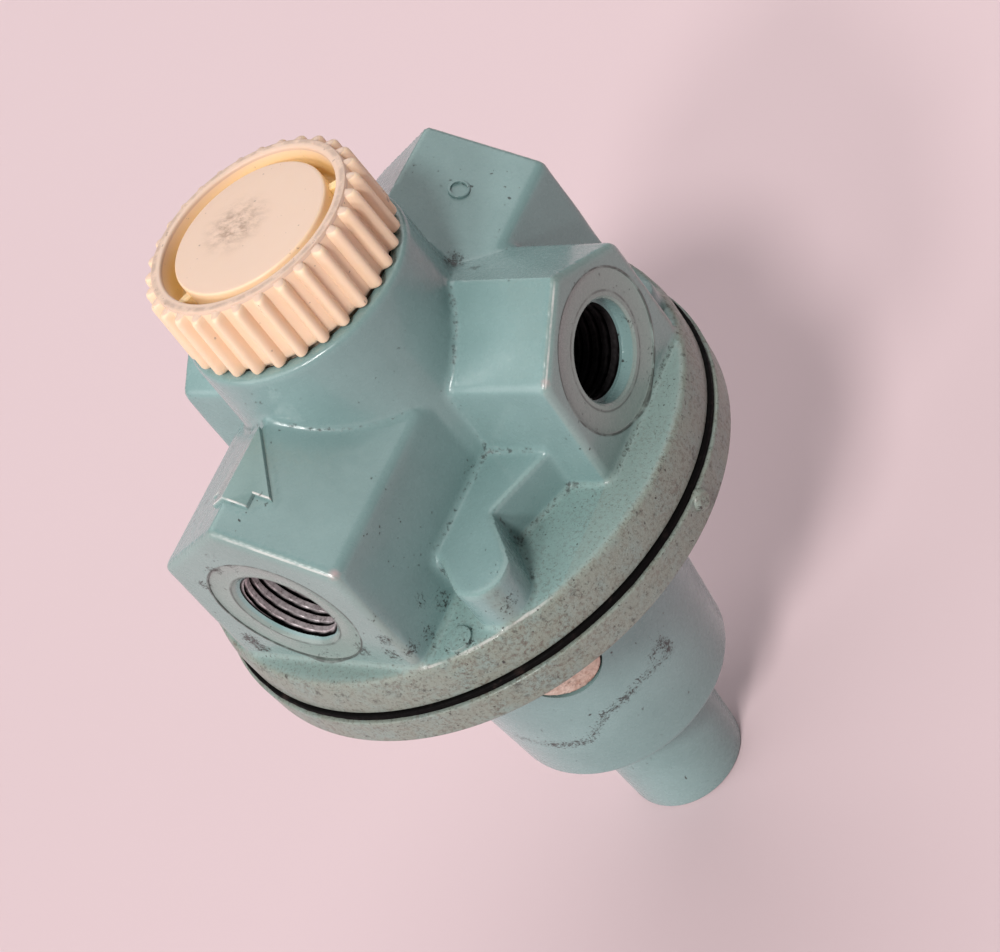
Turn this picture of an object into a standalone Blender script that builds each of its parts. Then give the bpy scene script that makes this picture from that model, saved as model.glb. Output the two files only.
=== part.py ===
"""Air pressure regulator as separate pieces, sizes in millimetres.

The end tube of the bonnet stands on Z = 0, the ribbed cap is on top, the
inlet faces -Y and the gauge ports face +X and -X.
"""
import math

import bmesh
import bpy
from mathutils import Matrix, Vector

MM = 0.001
GAP = 0.3            # air left between pieces that touch

# Outer form, read from the photo
FLANGE_R = 38.0      # body flange
FLANGE_H = 6.2
TUBE_H = 24.5        # narrow end tube of the bonnet
TUBE_R = 9.7
BARREL_H = 43.4      # from tube shoulder to bonnet flange
BARREL_R = 18.3      # at the shoulder, the barrel widens upward
BARREL_DRAFT = 3.2
BONNET_FLANGE_H = 4.8
FLANGE_PROUD = 1.0   # bonnet flange beyond the body flange
RUBBER_T = 0.6
NECK_R = 16.35
NECK_H = 35.0        # above the body flange
PORT_UP = 10.85      # port axis above the body flange
MAIN_AF = 29.6       # inlet and outlet hexagon, across flats
MAIN_L = 34.1
SIDE_AF = 24.4       # gauge port hexagons
SIDE_L = 31.5
SIDE_SHIFT = 7.7     # gauge ports sit toward the outlet side
PORT_R = 6.6         # quarter inch pipe thread mouth
PORT_DEPTH = 13.0
DRAFT = 0.35         # taper of each boss over its length
WALL_DRAFT = 0.8     # boss walls spread down to the flange
EDGE = 1.4           # rounded edges of the bosses
WEB_EDGE = 0.4
BOLT_INSET = 5.0     # screw circle inside the flange edge
BOSS_R = 4.1
BOSS_H = 6.8         # front screw bosses
BACK_BOSS_H = 3.2
WEB_REACH = 25.4     # corner webs, measured from the axis
WEB_BEND_IN = 7.4    # bend of the web inside the screw circle
WEB_BEND_TURN = -34.7
SPOT_R = 10.5        # spot face around each port
SPOT_DEEP = 0.3
CHAMFER = 0.9        # mouth of the inlet and outlet
SIDE_CHAMFER = 0.35
ARROW_L = 8.9        # raised flow arrow on the inlet
ARROW_W = 9.7
ARROW_STEM = 5.6
ARROW_TAIL = 2.0
ARROW_RISE = 0.75
SCREW_R = 1.75
HEAD_R = 3.5
HEAD_H = 2.8
WASHER_T = 0.8
SCREW_SINK = 2.7     # counterbore for the screw heads in the bonnet flange
CAP_R = 14.3         # smooth rim of the ribbed cap
CAP_H = 10.5
RIBS = 30
RIB_H = 1.3
DISC_R = 11.0
MOAT_W = 1.7
MOAT_DEEP = 4.8
VENT_R = 5.65
VENT_DROP = 22.7     # vent centre below the parting plane
VENT_TURN = -53.0
VENT_PROUD = 1.3     # vent face beyond the low end of the barrel

# Inner pieces
STEM_R = 1.6
GUIDE_R = 3.3        # bore for the stem guide
RELIEF_R = 1.1       # relief hole through the bush
SEAT_HOLE_R = 3.3
OUT_R = 8.5          # outlet chamber
VALVE_R = 11.8       # valve chamber under the cap
DUCT_R = 3.3         # riser from the inlet to the valve chamber
PASSAGE_R = 4.6      # inlet and outlet passages
GAUGE_HOLE_R = 3.0
SENSE_R = 1.3        # hole that lets outlet air onto the diaphragm
SEAL_T = 1.1
NECK_WALL = 2.1
TUBE_WALL = 3.3
FLANGE_ROOF = 3.1    # metal over the diaphragm chamber
CLAMP_LAND = 6.5     # clamped rubber inside the screw circle
CLAMP = 0.24         # air on each side of the clamped rubber
PLATE_CLEAR = 2.8    # diaphragm plates inside the bonnet bore
PLATE_T = 1.0
SPRING_PLATE_T = 1.2
RANGE_WIRE = 1.25
RANGE_CLEAR = 4.0    # middle of the range spring wire inside the bore
RANGE_TURNS = 5.0
VALVE_WIRE = 0.5
VALVE_COIL_R = 4.4
VALVE_TURNS = 6.0
ADJUST_R = 4.0       # adjusting screw
ADJUST_HEAD_R = 5.6
KEY_R = 2.9          # hexagon socket, across corners over two
KEY_DEEP = 3.2
LUG_W = 3.8          # key lug of the spring nut
CLIP_T = 1.2
ADJUST_HEAD_H = 5.0
ADJUST_REACH = 9.5   # screw end beyond the nut
FLOOR_T = 4.0        # metal between the end tube and the spring bore
NUT_LIFT = 8.0       # nut above the bore floor
NUT_H = 8.0
NUT_FLANGE = 3.0
GUIDE_H = 4.0
OUT_RISE = 2.9       # outlet chamber above the port axis
PARTITION = 4.0      # wall that carries the valve seat
SEAT_RISE = 3.7      # seat lip above the partition
DISC_T = 1.8         # poppet rubber
POPPET_T = 2.4
SPIGOT_H = 3.2
LEDGE_DEEP = 2.2     # ledge for the cap seal below the neck rim
ROOF_DEEP = 2.7      # hollow of the cap above its foot
SKIRT_L = 6.8        # cap skirt inside the neck
RECESS_H = 10.0      # key recess in the end tube
BORE_WALL = 3.3      # bonnet wall at the shoulder
BORE_WALL_TOP = 2.5
DIA_DROP = 1.7       # resting height of the rubber below the bonnet face
DISH_DEEP = 2.8

# Sizes and heights that follow from those above
BOLT_R = FLANGE_R - BOLT_INSET
WEB_BEND_R = BOLT_R - WEB_BEND_IN
DIA_R = BOLT_R - CLAMP_LAND
BORE_LOW = BARREL_R - BORE_WALL
BORE_TOP = BARREL_R - BORE_WALL_TOP
WORK_R = BORE_TOP - PLATE_CLEAR
RANGE_R = BORE_LOW - RANGE_CLEAR
BARREL_TOP = TUBE_H + BARREL_H
BONNET_TOP = BARREL_TOP + BONNET_FLANGE_H
RUBBER_Z = BONNET_TOP + CLAMP
PART_Z = RUBBER_Z + RUBBER_T + CLAMP
FLANGE_TOP = PART_Z + FLANGE_H
PORT_Z = FLANGE_TOP + PORT_UP
NECK_TOP = FLANGE_TOP + NECK_H
CAP_FOOT = NECK_TOP + GAP
CAP_TOP = CAP_FOOT + CAP_H
CHAMBER_TOP = FLANGE_TOP - FLANGE_ROOF
GUIDE_TOP = CHAMBER_TOP + GUIDE_H
OUT_TOP = PORT_Z + OUT_RISE
SEAT_Z = OUT_TOP + PARTITION
LEDGE_Z = NECK_TOP - LEDGE_DEEP
LEDGE_R = NECK_R - NECK_WALL
SEAT_LIP = SEAT_Z + SEAT_RISE
POPPET_Z = SEAT_LIP + DISC_T + 2 * GAP
POPPET_TOP = POPPET_Z + POPPET_T
CAP_ROOF = CAP_FOOT + ROOF_DEEP
DIA_Z = BONNET_TOP - DIA_DROP
DISH_Z = BONNET_TOP - DISH_DEEP
FLOOR_Z = TUBE_H + FLOOR_T
NUT_Z = FLOOR_Z + NUT_LIFT
NUT_TOP = NUT_Z + NUT_H
VENT_Z = PART_Z - VENT_DROP
VENT_SEAT = BORE_TOP + 1.1
VENT_FACE = BARREL_R + VENT_PROUD
RECESS_R = TUBE_R - TUBE_WALL
SCREW_END = FLANGE_TOP + BACK_BOSS_H - 1.0

PARTS = "air_pressure_regulator"
TOOLS = "cutters"


def start():
    for ob in list(bpy.data.objects):
        bpy.data.objects.remove(ob, do_unlink=True)
    groups = []
    for name in (PARTS, TOOLS):
        group = bpy.data.collections.new(name)
        bpy.context.scene.collection.children.link(group)
        groups.append(group)
    return groups


PART_GROUP, TOOL_GROUP = start()


def paint(name, colour, metal, rough):
    mat = bpy.data.materials.new(name)
    mat.use_nodes = True
    node = mat.node_tree.nodes["Principled BSDF"]
    node.inputs["Base Color"].default_value = (*colour, 1.0)
    node.inputs["Metallic"].default_value = metal
    node.inputs["Roughness"].default_value = rough
    return mat


TEAL = ((0.24, 0.40, 0.38), 0.1, 0.45)
CREAM = ((0.85, 0.66, 0.47), 0.0, 0.5)
BLACK = ((0.02, 0.02, 0.02), 0.0, 0.7)
BRASS = ((0.72, 0.53, 0.24), 1.0, 0.35)
STEEL = ((0.56, 0.57, 0.58), 1.0, 0.35)
BRONZE = ((0.60, 0.34, 0.22), 0.8, 0.6)


def add(name, mesh, look=None, place=None):
    """Put a mesh in the scene as a part (with a look) or a cutter (without)."""
    ob = bpy.data.objects.new(name, mesh)
    if place is not None:
        move = place.copy()
        move.translation = move.translation * MM
        ob.matrix_world = move
    if look is None:
        TOOL_GROUP.objects.link(ob)
        ob.hide_render = True
        ob.display_type = "WIRE"
    else:
        PART_GROUP.objects.link(ob)
        mesh.materials.append(paint(name, *look))
    return ob


def from_bmesh(name, bm, look=None, place=None):
    bmesh.ops.scale(bm, vec=(MM, MM, MM), verts=bm.verts)
    bmesh.ops.recalc_face_normals(bm, faces=bm.faces)
    mesh = bpy.data.meshes.new(name)
    bm.to_mesh(mesh)
    bm.free()
    return add(name, mesh, look, place)


def turned(name, profile, count, look=None, place=None):
    """Profile of (radius, height) pairs spun about Z; off the axis it is a ring."""
    ends = profile[1:] + profile[:1]
    area = sum(r0 * z1 - r1 * z0 for (r0, z0), (r1, z1) in zip(profile, ends))
    if area > 0:
        profile = profile[::-1]
    verts = [(r * MM, 0, z * MM) for r, z in profile]
    edges = [(k, k + 1) for k in range(len(verts) - 1)]
    if profile[0][0] > 0:
        edges.append((len(verts) - 1, 0))
    mesh = bpy.data.meshes.new(name)
    mesh.from_pydata(verts, edges, [])
    ob = add(name, mesh, look, place)
    mod = ob.modifiers.new("spin", "SCREW")
    mod.steps = count
    mod.render_steps = count
    mod.use_merge_vertices = True
    mod.merge_threshold = 0.00001
    return ob


def rod(name, radius, z0, z1, count, place=None):
    """Round cutter between two heights."""
    bm = bmesh.new()
    middle = Matrix.Translation((0, 0, (z0 + z1) / 2))
    bmesh.ops.create_cone(bm, cap_ends=True, segments=count, radius1=radius, radius2=radius,
                          depth=z1 - z0, matrix=middle)
    return from_bmesh(name, bm, place=place)


def block(name, low, high, place=None):
    """Box cutter between two corners."""
    bm = bmesh.new()
    size = [b - a for a, b in zip(low, high)]
    middle = [(a + b) / 2 for a, b in zip(low, high)]
    scale = Matrix.Diagonal((*size, 1))
    bmesh.ops.create_cube(bm, size=1.0, matrix=Matrix.Translation(middle) @ scale)
    return from_bmesh(name, bm, place=place)


def plate(name, outline, z0, z1, place=None):
    """Flat outline drawn as a filled curve and given its thickness."""
    curve = bpy.data.curves.new(name, "CURVE")
    curve.dimensions = "2D"
    curve.fill_mode = "BOTH"
    curve.extrude = (z1 - z0) / 2 * MM
    line = curve.splines.new("POLY")
    line.points.add(len(outline) - 1)
    line.use_cyclic_u = True
    for point, (x, y) in zip(line.points, outline):
        point.co = (x * MM, y * MM, 0, 1)
    sketch = bpy.data.objects.new(name, curve)
    TOOL_GROUP.objects.link(sketch)
    bm = bmesh.new()
    bm.from_mesh(evaluated(sketch))
    bpy.data.objects.remove(sketch)
    bmesh.ops.remove_doubles(bm, verts=bm.verts, dist=0.01 * MM)
    bmesh.ops.translate(bm, vec=(0, 0, (z0 + z1) / 2 * MM), verts=bm.verts)
    bmesh.ops.scale(bm, vec=(1 / MM, 1 / MM, 1 / MM), verts=bm.verts)
    return from_bmesh(name, bm, place=place)


def evaluated(ob):
    """Mesh of an object with its modifiers applied."""
    graph = bpy.context.evaluated_depsgraph_get()
    return bpy.data.meshes.new_from_object(ob.evaluated_get(graph))


def bridge(bm, low, high):
    """Skin two rings; one may be a pole, or hold a whole multiple of points."""
    if len(low) > len(high):
        low, high = high, low
    count = len(low)
    if count == 1:
        for k in range(len(high)):
            bm.faces.new((low[0], high[k], high[(k + 1) % len(high)]))
        return
    many = len(high) // count
    for k in range(count):
        fan = [high[(many * k + j) % len(high)] for j in range(many + 1)]
        for a, b in zip(fan, fan[1:-1]):
            bm.faces.new((low[k], a, b))
        bm.faces.new((low[k], fan[-2], fan[-1], low[(k + 1) % count]))


def loft(name, first, last, place=None):
    """Solid between two unlike outlines of equal point count."""
    bm = bmesh.new()
    low = [bm.verts.new(p) for p in first]
    high = [bm.verts.new(p) for p in last]
    bridge(bm, low, high)
    bm.faces.new(low)
    bm.faces.new(high)
    return from_bmesh(name, bm, place=place)


def facing(turn, x=0.0, y=0.0, z=0.0):
    """Placement that lays a turned tool's +Z along a level direction."""
    lay = Matrix.Rotation(math.radians(90), 4, "Y")
    return Matrix.Translation((x, y, z)) @ level(turn) @ lay


def level(turn):
    return Matrix.Rotation(math.radians(turn), 4, "Z")


def rounded(ob, width, segments=2):
    mod = ob.modifiers.new("rounded", "BEVEL")
    mod.width = width * MM
    mod.segments = segments
    mod.limit_method = "ANGLE"
    mod.angle_limit = math.radians(30)
    return ob


def combine(ob, tools, how):
    """Join, cut or trim with all the tools in one go."""
    group = bpy.data.collections.new("%s_%s" % (ob.name, how.lower()))
    TOOL_GROUP.children.link(group)
    for tool in tools:
        TOOL_GROUP.objects.unlink(tool)
        group.objects.link(tool)
    mod = ob.modifiers.new(how.lower(), "BOOLEAN")
    mod.operation = how
    mod.solver = "EXACT"
    mod.operand_type = "COLLECTION"
    mod.collection = group
    return ob


def join(ob, tools):
    return combine(ob, tools, "UNION")


def cut(ob, tools):
    return combine(ob, tools, "DIFFERENCE")


def finish(angle=35):
    """Apply the modifiers of every part and shade its round faces smooth."""
    bpy.context.view_layer.update()
    for ob in PART_GROUP.objects:
        if ob.type != "MESH":
            continue
        mesh = evaluated(ob)
        ob.modifiers.clear()
        ob.data = mesh
        mesh.shade_smooth()
        mesh.set_sharp_from_angle(angle=math.radians(angle))


def on_circle(radius, turns):
    return [(radius * math.cos(math.radians(t)), radius * math.sin(math.radians(t)))
            for t in turns]


SCREW_TURNS = (45, 135, 225, 315)
SCREW_SPOTS = on_circle(BOLT_R, SCREW_TURNS)


def holes(name, radius, z0, z1):
    """One round cutter at every flange screw."""
    return [rod("%s_%d" % (name, k), radius, z0, z1, 10, Matrix.Translation((x, y, 0)))
            for k, (x, y) in enumerate(SCREW_SPOTS)]


# Body casting
def roof(half, side, z):
    """Cross-section of a port boss: six-sided top on walls down to the flange."""
    low = FLANGE_TOP - 2.5
    wide = half + WALL_DRAFT
    return [(wide, low), (half, z + side / 2), (0, z + side), (-half, z + side / 2), (-wide, low)]


def port_boss(name, across, length, turn, shift):
    """Boss that leaves the neck along a level direction and narrows a little."""
    half = across / 2
    side = across / math.sqrt(3)
    move = Matrix.Translation((0, shift, 0)) @ level(turn - 90)
    near = [(x, 2.0, z) for x, z in roof(half + DRAFT, side + DRAFT, PORT_Z)]
    far = [(x, length, z) for x, z in roof(half, side, PORT_Z)]
    return rounded(loft(name, near, far, place=move), EDGE)


def boss_end():
    """Outline of a screw boss with the start of its arm, pointing along +X."""
    half = [math.radians(a) for a in range(-90, 91, 15)]
    return [(6.0, -BOSS_R)] + [(BOLT_R + BOSS_R * math.cos(a), BOSS_R * math.sin(a)) for a in half]


def back_arm(name, turn):
    """Low screw boss with a straight arm back to the neck."""
    outline = boss_end() + [(6.0, BOSS_R)]
    arm = plate(name, outline, FLANGE_TOP - 2.1, FLANGE_TOP + BACK_BOSS_H, level(turn))
    return rounded(arm, WEB_EDGE, 1)


def front_arm(name, sign):
    """Tall screw boss whose arm carries a web to the gauge port boss."""
    spin = Matrix.Rotation(math.radians(SCREW_TURNS[3]), 2)
    wall = SIDE_SHIFT - SIDE_AF / 2
    inside = NECK_R - 11.5
    outline = [tuple(spin @ Vector(p)) for p in boss_end()]
    outline += on_circle(WEB_BEND_R, (WEB_BEND_TURN,))
    outline += [(WEB_REACH, wall - 1), (WEB_REACH, wall + 2), (inside, wall + 2)]
    outline = [(sign * x, y) for x, y in outline]
    return rounded(plate(name, outline, FLANGE_TOP - 2.1, FLANGE_TOP + BOSS_H), WEB_EDGE, 1)


def flow_arrow(name):
    """Raised arrow astride the inlet ridge, pointing at the neck."""
    half = MAIN_AF / 2
    side = MAIN_AF / math.sqrt(3)
    top = roof(half + ARROW_RISE, side + 2.2 * ARROW_RISE, PORT_Z - 0.6)
    near = [(x, 3 - NECK_R, z) for x, z in top]
    far = [(x, 1.6 - MAIN_L, z) for x, z in top]
    slab = loft(name, near, far)
    tip = NECK_R + 1.9
    back = tip + ARROW_L
    tail = back + ARROW_TAIL
    wide = ARROW_W / 2
    slim = ARROW_STEM / 2
    outline = [(0, -tip), (wide, -back), (slim, -back), (slim, -tail),
               (-slim, -tail), (-slim, -back), (-wide, -back)]
    shape = plate(name + "_shape", outline, PORT_Z, NECK_TOP)
    mod = slab.modifiers.new("trim", "BOOLEAN")
    mod.operation = "INTERSECT"
    mod.solver = "EXACT"
    mod.object = shape
    return slab


def port_tool(name, length, turn, shift, deep, passage, chamfer):
    """Spot face, chamfer, thread bore and passage of one port, as one cutter."""
    end = length - PORT_DEPTH
    spot = length - SPOT_DEEP
    profile = [(0, deep), (passage, deep), (passage, end - 2.0), (PORT_R - 0.5, end),
               (PORT_R, spot - chamfer), (PORT_R + chamfer, spot),
               (SPOT_R, spot), (SPOT_R + 0.2, length + 2), (0, length + 2)]
    return turned(name, profile, 24, place=facing(turn, 0, shift, PORT_Z))


def build_body():
    profile = [(0, PART_Z), (FLANGE_R, PART_Z), (FLANGE_R - 0.25, FLANGE_TOP - 0.7),
               (FLANGE_R - 0.7, FLANGE_TOP),
               (NECK_R + 2.2, FLANGE_TOP), (NECK_R + 0.9, FLANGE_TOP + 1.2),
               (NECK_R, NECK_TOP - 0.5), (NECK_R - 0.45, NECK_TOP), (0, NECK_TOP)]
    body = turned("body_casting", profile, 64, TEAL)
    adds = [port_boss("boss_inlet", MAIN_AF, MAIN_L, -90, 0),
            port_boss("boss_outlet", MAIN_AF, MAIN_L, 90, 0),
            port_boss("boss_right", SIDE_AF, SIDE_L, 0, SIDE_SHIFT),
            port_boss("boss_left", SIDE_AF, SIDE_L, 180, SIDE_SHIFT)]
    adds += [back_arm("arm_%d" % turn, turn) for turn in SCREW_TURNS[:2]]
    adds += [front_arm("arm_right", 1), front_arm("arm_left", -1), flow_arrow("arrow")]
    join(body, adds)
    tidy = body.modifiers.new("tidy", "WELD")
    tidy.merge_threshold = 0.03 * MM
    inside = [(0, PART_Z - 2), (DIA_R, PART_Z - 2), (DIA_R, CHAMBER_TOP),
              (GUIDE_R, CHAMBER_TOP), (GUIDE_R, GUIDE_TOP),
              (OUT_R, GUIDE_TOP), (OUT_R, OUT_TOP), (SEAT_HOLE_R + 2.2, OUT_TOP),
              (SEAT_HOLE_R + 2.2, SEAT_Z), (VALVE_R, SEAT_Z), (VALVE_R, LEDGE_Z),
              (LEDGE_R, LEDGE_Z), (LEDGE_R, NECK_TOP + 2), (0, NECK_TOP + 2)]
    duct_y = OUT_R + 0.8 + DUCT_R
    duct = Matrix.Translation((0, -duct_y, 0))
    sense = Matrix.Translation((0, OUT_R - SENSE_R - 0.7, 0))
    tools = [turned("chambers", inside, 28),
             port_tool("port_inlet", MAIN_L, -90, 0, duct_y + 1.4, PASSAGE_R, CHAMFER),
             port_tool("port_outlet", MAIN_L, 90, 0, 2.0, PASSAGE_R, CHAMFER),
             port_tool("port_right", SIDE_L, 0, SIDE_SHIFT, 2.0, GAUGE_HOLE_R, SIDE_CHAMFER),
             port_tool("port_left", SIDE_L, 180, SIDE_SHIFT, 2.0, GAUGE_HOLE_R, SIDE_CHAMFER),
             rod("inlet_duct", DUCT_R, PORT_Z, SEAT_Z + 3.5, 16, duct),
             rod("sense_hole", SENSE_R, CHAMBER_TOP - 1, GUIDE_TOP + 1, 10, sense)]
    tools += holes("body_hole", SCREW_R + 0.25, PART_Z - 2, SCREW_END)
    cut(body, tools)
    # the exact solver leaves open slivers at the boss corners here
    body.modifiers[-1].solver = "MANIFOLD"
    return body


# Ribbed cap
def ring(bm, radius, z, count):
    if radius == 0:
        return [bm.verts.new((0, 0, z))]
    step = math.tau / count
    return [bm.verts.new((radius * math.cos(step * k), radius * math.sin(step * k), z))
            for k in range(count)]


def ribbed_ring(bm, radius, z, height):
    """Ring of half-round ribs, six points to a rib."""
    shape = (0.0, 0.0, 0.78, 1.0, 0.78, 0.0)
    verts = []
    for k in range(RIBS * len(shape)):
        r = radius + height * shape[k % len(shape)]
        a = math.tau * k / (RIBS * len(shape))
        verts.append(bm.verts.new((r * math.cos(a), r * math.sin(a), z)))
    return verts


def build_cap():
    coarse = 2 * RIBS
    skirt = VALVE_R - 0.4
    moat = CAP_TOP - MOAT_DEEP
    disc = CAP_TOP - 0.5
    rim = DISC_R + MOAT_W
    seat = LEDGE_Z + GAP + SEAL_T + GAP
    inner = [(0, CAP_ROOF), (skirt - 2.0, CAP_ROOF), (skirt - 2.0, CAP_FOOT - SKIRT_L + 0.5),
             (skirt - 0.5, CAP_FOOT - SKIRT_L), (skirt, CAP_FOOT - SKIRT_L + 0.5), (skirt, seat),
             (LEDGE_R - 0.4, seat), (LEDGE_R - 0.4, CAP_FOOT)]
    ribs = [(CAP_R + 0.4, CAP_FOOT, 1.0), (CAP_R + 0.05, CAP_TOP - 0.9, 1.0),
            (CAP_R, CAP_TOP - 0.5, 0.7)]
    outer = [(CAP_R, CAP_TOP - 0.3), (CAP_R - 0.3, CAP_TOP),
             (rim + 0.35, CAP_TOP), (rim, CAP_TOP - 0.3), (rim - 0.1, moat), (DISC_R + 0.1, moat),
             (DISC_R, disc - 0.35), (DISC_R - 0.35, disc), (0, disc)]
    bm = bmesh.new()
    rings = [ring(bm, r, z, RIBS) for r, z in inner]
    rings += [ribbed_ring(bm, r, z, RIB_H * part) for r, z, part in ribs]
    rings += [ring(bm, r, z, coarse) for r, z in outer]
    for low, high in zip(rings, rings[1:]):
        bridge(bm, low, high)
    cap = from_bmesh("ribbed_cap", bm, CREAM)
    low = (DISC_R - 0.6, -0.7, moat - 0.6)
    high = (rim + 0.6, 0.7, CAP_TOP - 1.6)
    join(cap, [block("moat_web_%d" % turn, low, high, level(turn)) for turn in (38, -118)])
    cap.modifiers[-1].solver = "MANIFOLD"
    return cap


# Bonnet
def build_bonnet():
    flange = FLANGE_R + FLANGE_PROUD
    top = BARREL_R + BARREL_DRAFT
    profile = [(DIA_R, BONNET_TOP), (flange - 0.3, BONNET_TOP), (flange, BONNET_TOP - 0.3),
               (flange - 0.2, BARREL_TOP + 0.5), (flange - 0.7, BARREL_TOP),
               (top + 1.4, BARREL_TOP), (top, BARREL_TOP - 1.4),
               (BARREL_R + 0.1, TUBE_H + 1.1), (BARREL_R - 0.25, TUBE_H + 0.3),
               (BARREL_R - 0.9, TUBE_H), (TUBE_R + 1.6, TUBE_H), (TUBE_R + 1.1, TUBE_H - 0.6),
               (TUBE_R + 0.1, 0.6), (TUBE_R - 0.4, 0), (RECESS_R, 0),
               (RECESS_R, RECESS_H), (ADJUST_R + 0.3, RECESS_H), (ADJUST_R + 0.3, FLOOR_Z),
               (BORE_LOW, FLOOR_Z), (BORE_TOP, DISH_Z), (DIA_R, DISH_Z)]
    bonnet = turned("bonnet_casting", profile, 48, TEAL)
    start_r = BORE_LOW - 6
    end_r = BARREL_R + BARREL_DRAFT + 6
    vent = [(0, start_r), (VENT_R - 1.1, start_r), (VENT_R - 1.1, VENT_SEAT),
            (VENT_R + GAP, VENT_SEAT), (VENT_R + GAP, end_r), (0, end_r)]
    slot = LUG_W / 2 + 0.5
    tools = [turned("vent_hole", vent, 26, place=facing(VENT_TURN, 0, 0, VENT_Z)),
             block("key_slot", (BORE_LOW - 5, -slot, FLOOR_Z + 1.5), (BORE_LOW + 1.4, slot, NUT_TOP + 7))]
    tools += holes("bonnet_hole", SCREW_R + 0.45, BARREL_TOP - 3, BONNET_TOP + 3)
    tools += holes("bonnet_sink", HEAD_R + 0.6, BARREL_TOP - 3, BARREL_TOP + SCREW_SINK)
    cut(bonnet, tools)
    return bonnet


def build_vent():
    seat = VENT_SEAT + GAP
    profile = [(0, seat), (VENT_R, seat), (VENT_R, VENT_FACE - 0.3), (VENT_R - 0.4, VENT_FACE),
               (0, VENT_FACE + 0.25)]
    return turned("vent_disc", profile, 26, BRONZE, facing(VENT_TURN, 0, 0, VENT_Z))


# Diaphragm stack
def build_diaphragm():
    thick = RUBBER_T + 0.1
    inner = WORK_R + 7.0
    span = DIA_R - inner
    bend = inner + 0.6 * span
    top = [(STEM_R + 1.3, DIA_Z + thick), (inner, DIA_Z + thick), (bend, DIA_Z + 0.9),
           (DIA_R + 0.4, RUBBER_Z + RUBBER_T), (FLANGE_R - 0.3, RUBBER_Z + RUBBER_T)]
    low = [(FLANGE_R - 0.3, RUBBER_Z), (DIA_R + 0.4, RUBBER_Z), (bend, DIA_Z + 0.2),
           (inner, DIA_Z), (STEM_R + 1.3, DIA_Z)]
    rubber = turned("diaphragm", top + low, 40, BLACK)
    cut(rubber, holes("rubber_hole", SCREW_R + 0.45, RUBBER_Z - 2, RUBBER_Z + 2))
    return rubber


def build_stack():
    hole = STEM_R + 1.3
    above = DIA_Z + RUBBER_T + 0.1 + GAP
    top = [(hole, above), (WORK_R, above), (WORK_R, above + PLATE_T - 0.4),
           (WORK_R - 0.4, above + PLATE_T), (hole, above + PLATE_T)]
    turned("diaphragm_plate_upper", top, 24, STEEL)
    below = DIA_Z - GAP
    inside = RANGE_R - RANGE_WIRE - 1.3
    under = below - SPRING_PLATE_T
    low = [(hole, below), (WORK_R + 1.6, below), (WORK_R + 1.6, under), (inside, under),
           (inside - 0.2, under - 2.0), (inside - 1.4, under - 2.0), (inside - 1.4, under), (hole, under)]
    turned("diaphragm_plate_lower", low, 24, STEEL)
    head = above + PLATE_T + GAP
    foot = under - GAP
    bush = [(RELIEF_R, head + 0.8), (hole + 1.3, head + 0.8), (hole + 1.3, head),
            (hole - GAP, head), (hole - GAP, foot), (hole + 1.7, foot), (hole + 1.7, foot - 1.0),
            (RELIEF_R, foot - 1.0)]
    turned("relief_bush", bush, 12, BRASS)
    return head + 0.8, under


# Valve
def build_valve(stack_top):
    hole = STEM_R + 0.3
    guide = [(hole, CHAMBER_TOP - 1.1), (hole + 2.7, CHAMBER_TOP - 1.1), (hole + 2.7, CHAMBER_TOP - GAP),
             (GUIDE_R - GAP, CHAMBER_TOP - GAP), (GUIDE_R - GAP, GUIDE_TOP + 0.6),
             (hole, GUIDE_TOP + 0.6)]
    turned("stem_guide", guide, 12, BRASS)
    seal = [(SEAT_HOLE_R + 2.7, SEAT_Z + GAP), (SEAT_HOLE_R + 4.5, SEAT_Z + GAP),
            (SEAT_HOLE_R + 4.5, SEAT_Z + 1.1), (SEAT_HOLE_R + 2.7, SEAT_Z + 1.1)]
    turned("seat_seal_ring", seal, 20, BLACK)
    flange = SEAT_Z + 1.1 + GAP
    seat = [(SEAT_HOLE_R, SEAT_LIP), (SEAT_HOLE_R + 0.9, SEAT_LIP), (SEAT_HOLE_R + 1.4, flange + 1.4),
            (SEAT_HOLE_R + 4.8, flange + 1.4), (SEAT_HOLE_R + 4.8, flange),
            (SEAT_HOLE_R + 1.9, flange), (SEAT_HOLE_R + 1.9, OUT_TOP + 0.4), (SEAT_HOLE_R, OUT_TOP + 0.4)]
    turned("valve_seat", seat, 16, BRASS)
    wide = SEAT_HOLE_R + 2.7
    rubber = [(hole, SEAT_LIP + GAP), (wide, SEAT_LIP + GAP), (wide, POPPET_Z - GAP),
              (hole, POPPET_Z - GAP)]
    turned("poppet_rubber", rubber, 16, BLACK)
    socket = POPPET_Z + 1.4
    spigot = VALVE_COIL_R - VALVE_WIRE - 1.0
    poppet = [(0, POPPET_TOP + SPIGOT_H), (spigot - 0.5, POPPET_TOP + SPIGOT_H),
              (spigot, POPPET_TOP + SPIGOT_H - 0.5),
              (spigot, POPPET_TOP), (wide + 0.2, POPPET_TOP), (wide + 0.6, POPPET_TOP - 0.4),
              (wide + 0.6, POPPET_Z), (hole, POPPET_Z), (hole, socket), (0, socket)]
    turned("valve_poppet", poppet, 16, BRASS)
    low = stack_top + GAP
    stem = [(0, socket - GAP), (STEM_R, socket - GAP), (STEM_R, low + 0.6), (STEM_R - 0.8, low), (0, low)]
    turned("valve_stem", stem, 12, STEEL)
    seat_ring = [(VALVE_R + 0.5, LEDGE_Z + GAP), (LEDGE_R - 0.4, LEDGE_Z + GAP),
                 (LEDGE_R - 0.4, LEDGE_Z + GAP + SEAL_T), (VALVE_R + 0.5, LEDGE_Z + GAP + SEAL_T)]
    turned("cap_seal_ring", seat_ring, 28, BLACK)


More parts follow.
